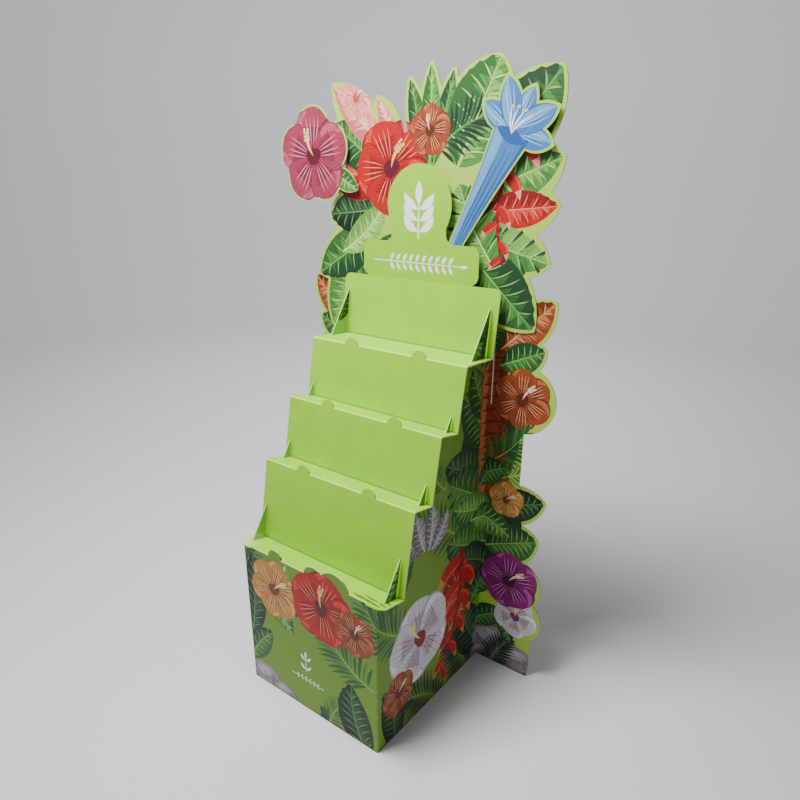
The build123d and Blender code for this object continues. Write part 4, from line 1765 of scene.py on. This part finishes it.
@dataclass
class Header:
    """The header board behind the sign: leaves and flowers inside a plain border.

    Two white strips on its tongue show in the slits along the body's back folds.
    """

    node: bpy.types.Object
    tongue: float = 327.0
    slit: float = 252.0
    slit_top: float = -180.0
    slit_width: float = 8.0

    @property
    def crease(self) -> float:
        """Height of the crease below the sign, from which the artwork is measured."""
        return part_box(self.node.name)[0].z / MM + self.tongue

    def motifs(self) -> list[Motif]:
        """Artwork from the lowest: the outline's leaves first, then what fills the middle.

        Returns:
            The motifs.
        """
        strips = (((side * self.slit, -self.tongue), (side * self.slit, self.slit_top)) for side in (-1, 1))
        return [
            Blade((10, 300), (-46, 518), 58, Inks.SHADE, veins=4),
            Blade((30, 300), (92, 528), 58, Inks.SHADE, veins=4),
            Blade((20, 300), (22, 547), 62, Inks.LEAF, veins=4),
            Blade((190, 290), (384, 512), 166, Inks.SHADE),
            Blade((110, 300), (222, 547), 186, Inks.LEAF),
            Blade((190, 240), (404, 322), 112, Inks.LEAF),
            Blade((190, 190), (402, 212), 92, Inks.RED),
            SplitLeaf((160, 130), (390, 72), 118, Inks.LEAF),
            Blade((130, 110), (362, -98), 160, Inks.SHADE, veins=8),
            Blade((-190, 110), (-348, -172), 160, Inks.LEAF, veins=8),
            Blade((-160, 130), (-398, -12), 134, Inks.SHADE),
            Blade((-140, 190), (-345, 168), 124, Inks.NIGHT),
            Blade((-130, 270), (-345, 296), 144, Inks.RED),
            Blade((-150, 300), (-322, 420), 124, Inks.SHADE),
            Blade((-120, 330), (-322, 520), 84, Inks.PINK),
            Blade((-80, 330), (-158, 480), 52, Inks.PINK),
            Blade((-210, -40), (-60, 120), 96, Inks.LEAF, 0.06),
            Blade((-300, 60), (-130, 210), 90, Inks.YOUNG, -0.06),
            SplitLeaf((230, 60), (120, 260), 150, Inks.LEAF, bow=0.05),
            Bracts((330, 430), (262, 60), 104, Inks.RED, -0.14, 9, Inks.PINK),
            Palm((40, 330), (196, 420), 84, Inks.NIGHT, 0.1),
            Blade((-40, 250), (-170, 400), 100, Inks.SHADE, 0.06),
            Flower((-110, 300), 128, Inks.RED, 5, 40.0, 0.94),
            Flower((20, 392), 66, Inks.RUST, 5, 80.0, 0.88),
            Flower((-236, 486), 62, Inks.PINK, 5, 20.0, 0.9),
            *(Strip(foot, head, self.slit_width) for foot, head in strips),
        ]

    def dress(self, liner: bpy.types.Material) -> None:
        """Covers the board's front with its printed liner."""
        sheet = FrontSheet(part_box(self.node.name)[0].y / MM, self.crease)
        sheet.cover(self.node, "header_print", self.motifs(), liner)


@dataclass
class CutOuts:
    """The two raised flowers in front of the header: one with five round petals and a leaf, and a trumpet."""

    left: bpy.types.Object
    right: bpy.types.Object
    crease: float
    flower: Point = (-402.0, 335.0)
    flower_radius: float = 132.0
    petals: int = 5
    petal_reach: float = 72.0
    petal_radius: float = 70.0
    border: float = 5.0

    def left_motifs(self) -> list[Motif]:
        """A leaf and round petals with a throat and stamens.

        Returns:
            The motifs from the lowest.
        """
        ink = Inks.ROSE.value
        made: list[Motif] = [Blade((-340, 300), (-226, 240), 56, Inks.LEAF)]
        for petal in range(self.petals):
            middle = away(self.flower, math.radians(90 + 360 / self.petals * petal), self.petal_reach)
            made.append(Disc(middle, self.petal_radius - self.border, ink.base, ink.dark, Pattern.MOTTLED))
        return [*made, Flower(self.flower, self.flower_radius, Inks.ROSE, self.petals, 90.0, 0.86)]

    def dress(self, liner: bpy.types.Material) -> None:
        """Covers each cut-out's front with its printed liner.

        Args:
            liner: the printed liner's material.
        """
        jobs = (
            (self.left, "left_cutout_print", self.left_motifs()),
            (self.right, "right_cutout_print", [Lily()]),
        )
        for node, name, motifs in jobs:
            FrontSheet(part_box(node.name)[0].y / MM, self.crease).cover(node, name, motifs, liner)


@dataclass
class Sign:
    """The plain sign plate: a white sprig in the arch and a leafy rule below it."""

    crease: float
    front: float = 505.73
    sprig: Sprig = Sprig((0, 116), (0, 206), 66, 3)
    rule: Sprig = Sprig((-158, 48), (150, 48), 27, 10, 0.0, 58.0)

    def dress(self, liner: bpy.types.Material) -> None:
        """Prints the two white shapes on the plate.

        Args:
            liner: the printed liner's material.
        """
        patches = drawn([self.sprig, self.rule])
        place = FrontSheet(self.front, self.crease).place
        PrintSheet("sign_print", [patch.points for patch in patches], place, patches).build(liner)


@dataclass(frozen=True)
class LedgeStrokes:
    """Palm tips that run from the side over the right-hand end of the lowest ledge."""

    ink: str = "#4C7A22"
    width: float = 7.5
    bow: float = 0.05
    runs: tuple[tuple[Point, Point], ...] = (
        ((262, 6), (204, 17)),
        ((232, 9), (178, 18)),
        ((206, 10), (158, 17)),
        ((240, 25), (190, 31)),
        ((269, 18), (240, 25)),
        ((271, 36), (246, 43)),
    )

    def place(self, flat: np.ndarray) -> np.ndarray:
        """Carries the sheet onto the ledge: across, then back along its slope.

        Args:
            flat: points on the sheet, in millimetres.

        Returns:
            Points in the part's frame, in metres.
        """
        line = StepLine()
        drop = math.radians(line.ledges[0][1])
        depth = line.start[0] + flat[:, 1] * math.cos(drop) + LIFT * math.sin(drop)
        height = line.start[1] - flat[:, 1] * math.sin(drop) + LIFT * math.cos(drop)
        return np.stack([flat[:, 0], depth, height], axis=1) * MM

    def dress(self, liner: bpy.types.Material) -> None:
        """Prints the strokes."""
        patches = [Rib(stalk, tip, self.bow).lens(self.width, self.ink) for stalk, tip in self.runs]
        PrintSheet("ledge_print", [patch.points for patch in patches], self.place, patches).build(liner)


@dataclass(frozen=True)
class SoftLight:
    """One soft box of the studio: its place, its aim, its size in metres and its power in watts."""

    name: str
    place: Place
    aim: Place
    size: float
    watts: float

    def hang(self) -> None:
        """Makes the area light and turns it to its aim."""
        lamp = bpy.data.lights.new(self.name, "AREA")
        lamp.shape = "SQUARE"
        lamp.size = self.size
        lamp.energy = self.watts
        made = bpy.data.objects.new(self.name, lamp)
        bpy.context.scene.collection.objects.link(made)
        x, y, z = np.array(self.aim) - np.array(self.place)
        made.location = self.place
        made.rotation_euler = (math.atan2(math.hypot(x, y), -z), 0.0, math.atan2(-x, y))


@dataclass
class Studio:
    """Pale seamless floor, soft boxes and the camera at the photograph's angle, in metres and degrees.

    A key box hangs high above the ledges, a weak one stands ahead and one lights the wall behind, in an even
    pale surround.
    """

    lens: float = 29.36
    sensor: float = 36.0
    shift: Point = (0.01625, 0.0445)
    stand: Place = (1.112, -1.055, 1.5)
    pitch: float = 68.15
    heading: float = 38.1
    floor_colour: str = "#E4E6E8"
    floor_roughness: float = 0.85
    disc: float = 1.0
    floor_reach: float = 5.5
    sweep: float = 2.5
    sweep_rings: int = 13
    wall: float = 6.0
    sides: int = 72
    boxes: tuple[SoftLight, ...] = (
        SoftLight("key_light", (-0.3, -0.3, 3.0), (0.0, 0.25, 0.8), 0.9, 122.0),
        SoftLight("front_light", (-2.0, -3.0, 1.9), (0.0, 0.2, 0.9), 1.6, 9.0),
        SoftLight("wall_light", (-1.2, 2.0, 4.2), (-4.9, 6.6, 1.6), 2.5, 190.0),
    )
    surround: str = "#F2F5F8"
    surround_strength: float = 0.225

    def lay_floor(self) -> None:
        """A seamless pale bowl: a disc whose rim turns up in a quarter circle to a wall, carried round Z."""
        turn = np.linspace(0, np.pi / 2, self.sweep_rings)
        rim = self.floor_reach + self.sweep
        reach = np.concatenate([[self.disc], self.floor_reach + self.sweep * np.sin(turn), [rim]])
        rise = np.concatenate([[0.0], self.sweep * (1 - np.cos(turn)), [self.wall]])
        angle = np.linspace(0, 2 * np.pi, self.sides, endpoint=False)
        x, y = np.outer(reach, np.cos(angle)), np.outer(reach, np.sin(angle))
        rings = np.stack([x, y, np.repeat(rise[:, None], self.sides, 1)], axis=2)
        ring, side = np.meshgrid(np.arange(len(reach) - 1), np.arange(self.sides), indexing="ij")
        onward = (side + 1) % self.sides
        corners = [ring * self.sides + side, (ring + 1) * self.sides + side]
        corners += [(ring + 1) * self.sides + onward, ring * self.sides + onward]
        faces = np.stack(corners, axis=2).reshape(-1, 4).tolist()
        mesh = bpy.data.meshes.new("floor")
        mesh.from_pydata(rings.reshape(-1, 3).tolist(), [], [*faces, list(range(self.sides))])
        mesh.shade_smooth()
        material, node = blank_material("painted_studio_floor")
        feeds = {"Base Color": linear(self.floor_colour), "Roughness": self.floor_roughness}
        node("OutputMaterial", {"Surface": node("BsdfPrincipled", feeds)[0]})
        mesh.materials.append(material)
        floor = bpy.data.objects.new("floor", mesh)
        bpy.context.scene.collection.objects.link(floor)

    def light(self) -> None:
        """Hangs the soft boxes and sets the surround."""
        for box in self.boxes:
            box.hang()
        world = bpy.data.worlds.new("studio")
        world.use_nodes = True
        surround = world.node_tree.nodes["Background"]
        surround.inputs["Color"].default_value = linear(self.surround)
        surround.inputs["Strength"].default_value = self.surround_strength
        bpy.context.scene.world = world

    def shoot(self) -> None:
        """Sets up the camera."""
        data = bpy.data.cameras.new("camera")
        data.lens = self.lens
        data.sensor_width = self.sensor
        data.shift_x, data.shift_y = self.shift
        camera = bpy.data.objects.new("camera", data)
        camera.location = self.stand
        camera.rotation_euler = (math.radians(self.pitch), 0.0, math.radians(self.heading))
        bpy.context.scene.collection.objects.link(camera)
        bpy.context.scene.camera = camera


def paint(node: bpy.types.Object, material: bpy.types.Material) -> None:
    """Gives a CAD node one material."""
    node.data.materials.clear()
    node.data.materials.append(material)


def main() -> None:
    """Loads the part, dresses its boards and sets the studio up."""
    logging.basicConfig(level=logging.INFO)
    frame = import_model()
    nodes = frame["nodes"]
    liner = PrintedLiner().material()
    brown = RawBoard("kraft_corrugated_board", "#BC9A6C", "#A17C52")
    white = RawBoard("white_lined_board", "#E6E2D8", "#B39A77")
    wrap = BodyWrap(nodes["body_wrap"])
    header = Header(nodes["header_board"])
    ledge_line = (StepLine().start[1] - BOARD) * MM
    wrapped = brown.material(Lay.WRAPPED, wrap.wing_front * MM, wrap.half * MM, ledge_line)
    paint(nodes["body_wrap"], wrapped)
    paint(nodes["shelf_sheet"], ShelfPrint().material())
    boards = {
        "header_board": white,
        "left_cutout": white,
        "right_cutout": white,
        "left_spacers": brown,
        "right_spacers": brown,
        "back_panel": brown,
    }
    for name, board in boards.items():
        paint(nodes[name], board.material(Lay.FACING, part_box(name)[0].y))
    wrap.dress(liner)
    header.dress(liner)
    CutOuts(nodes["left_cutout"], nodes["right_cutout"], header.crease).dress(liner)
    Sign(header.crease).dress(liner)
    LedgeStrokes().dress(liner)
    studio = Studio()
    studio.lay_floor()
    studio.light()
    studio.shoot()


if __name__ == "__main__":
    main()
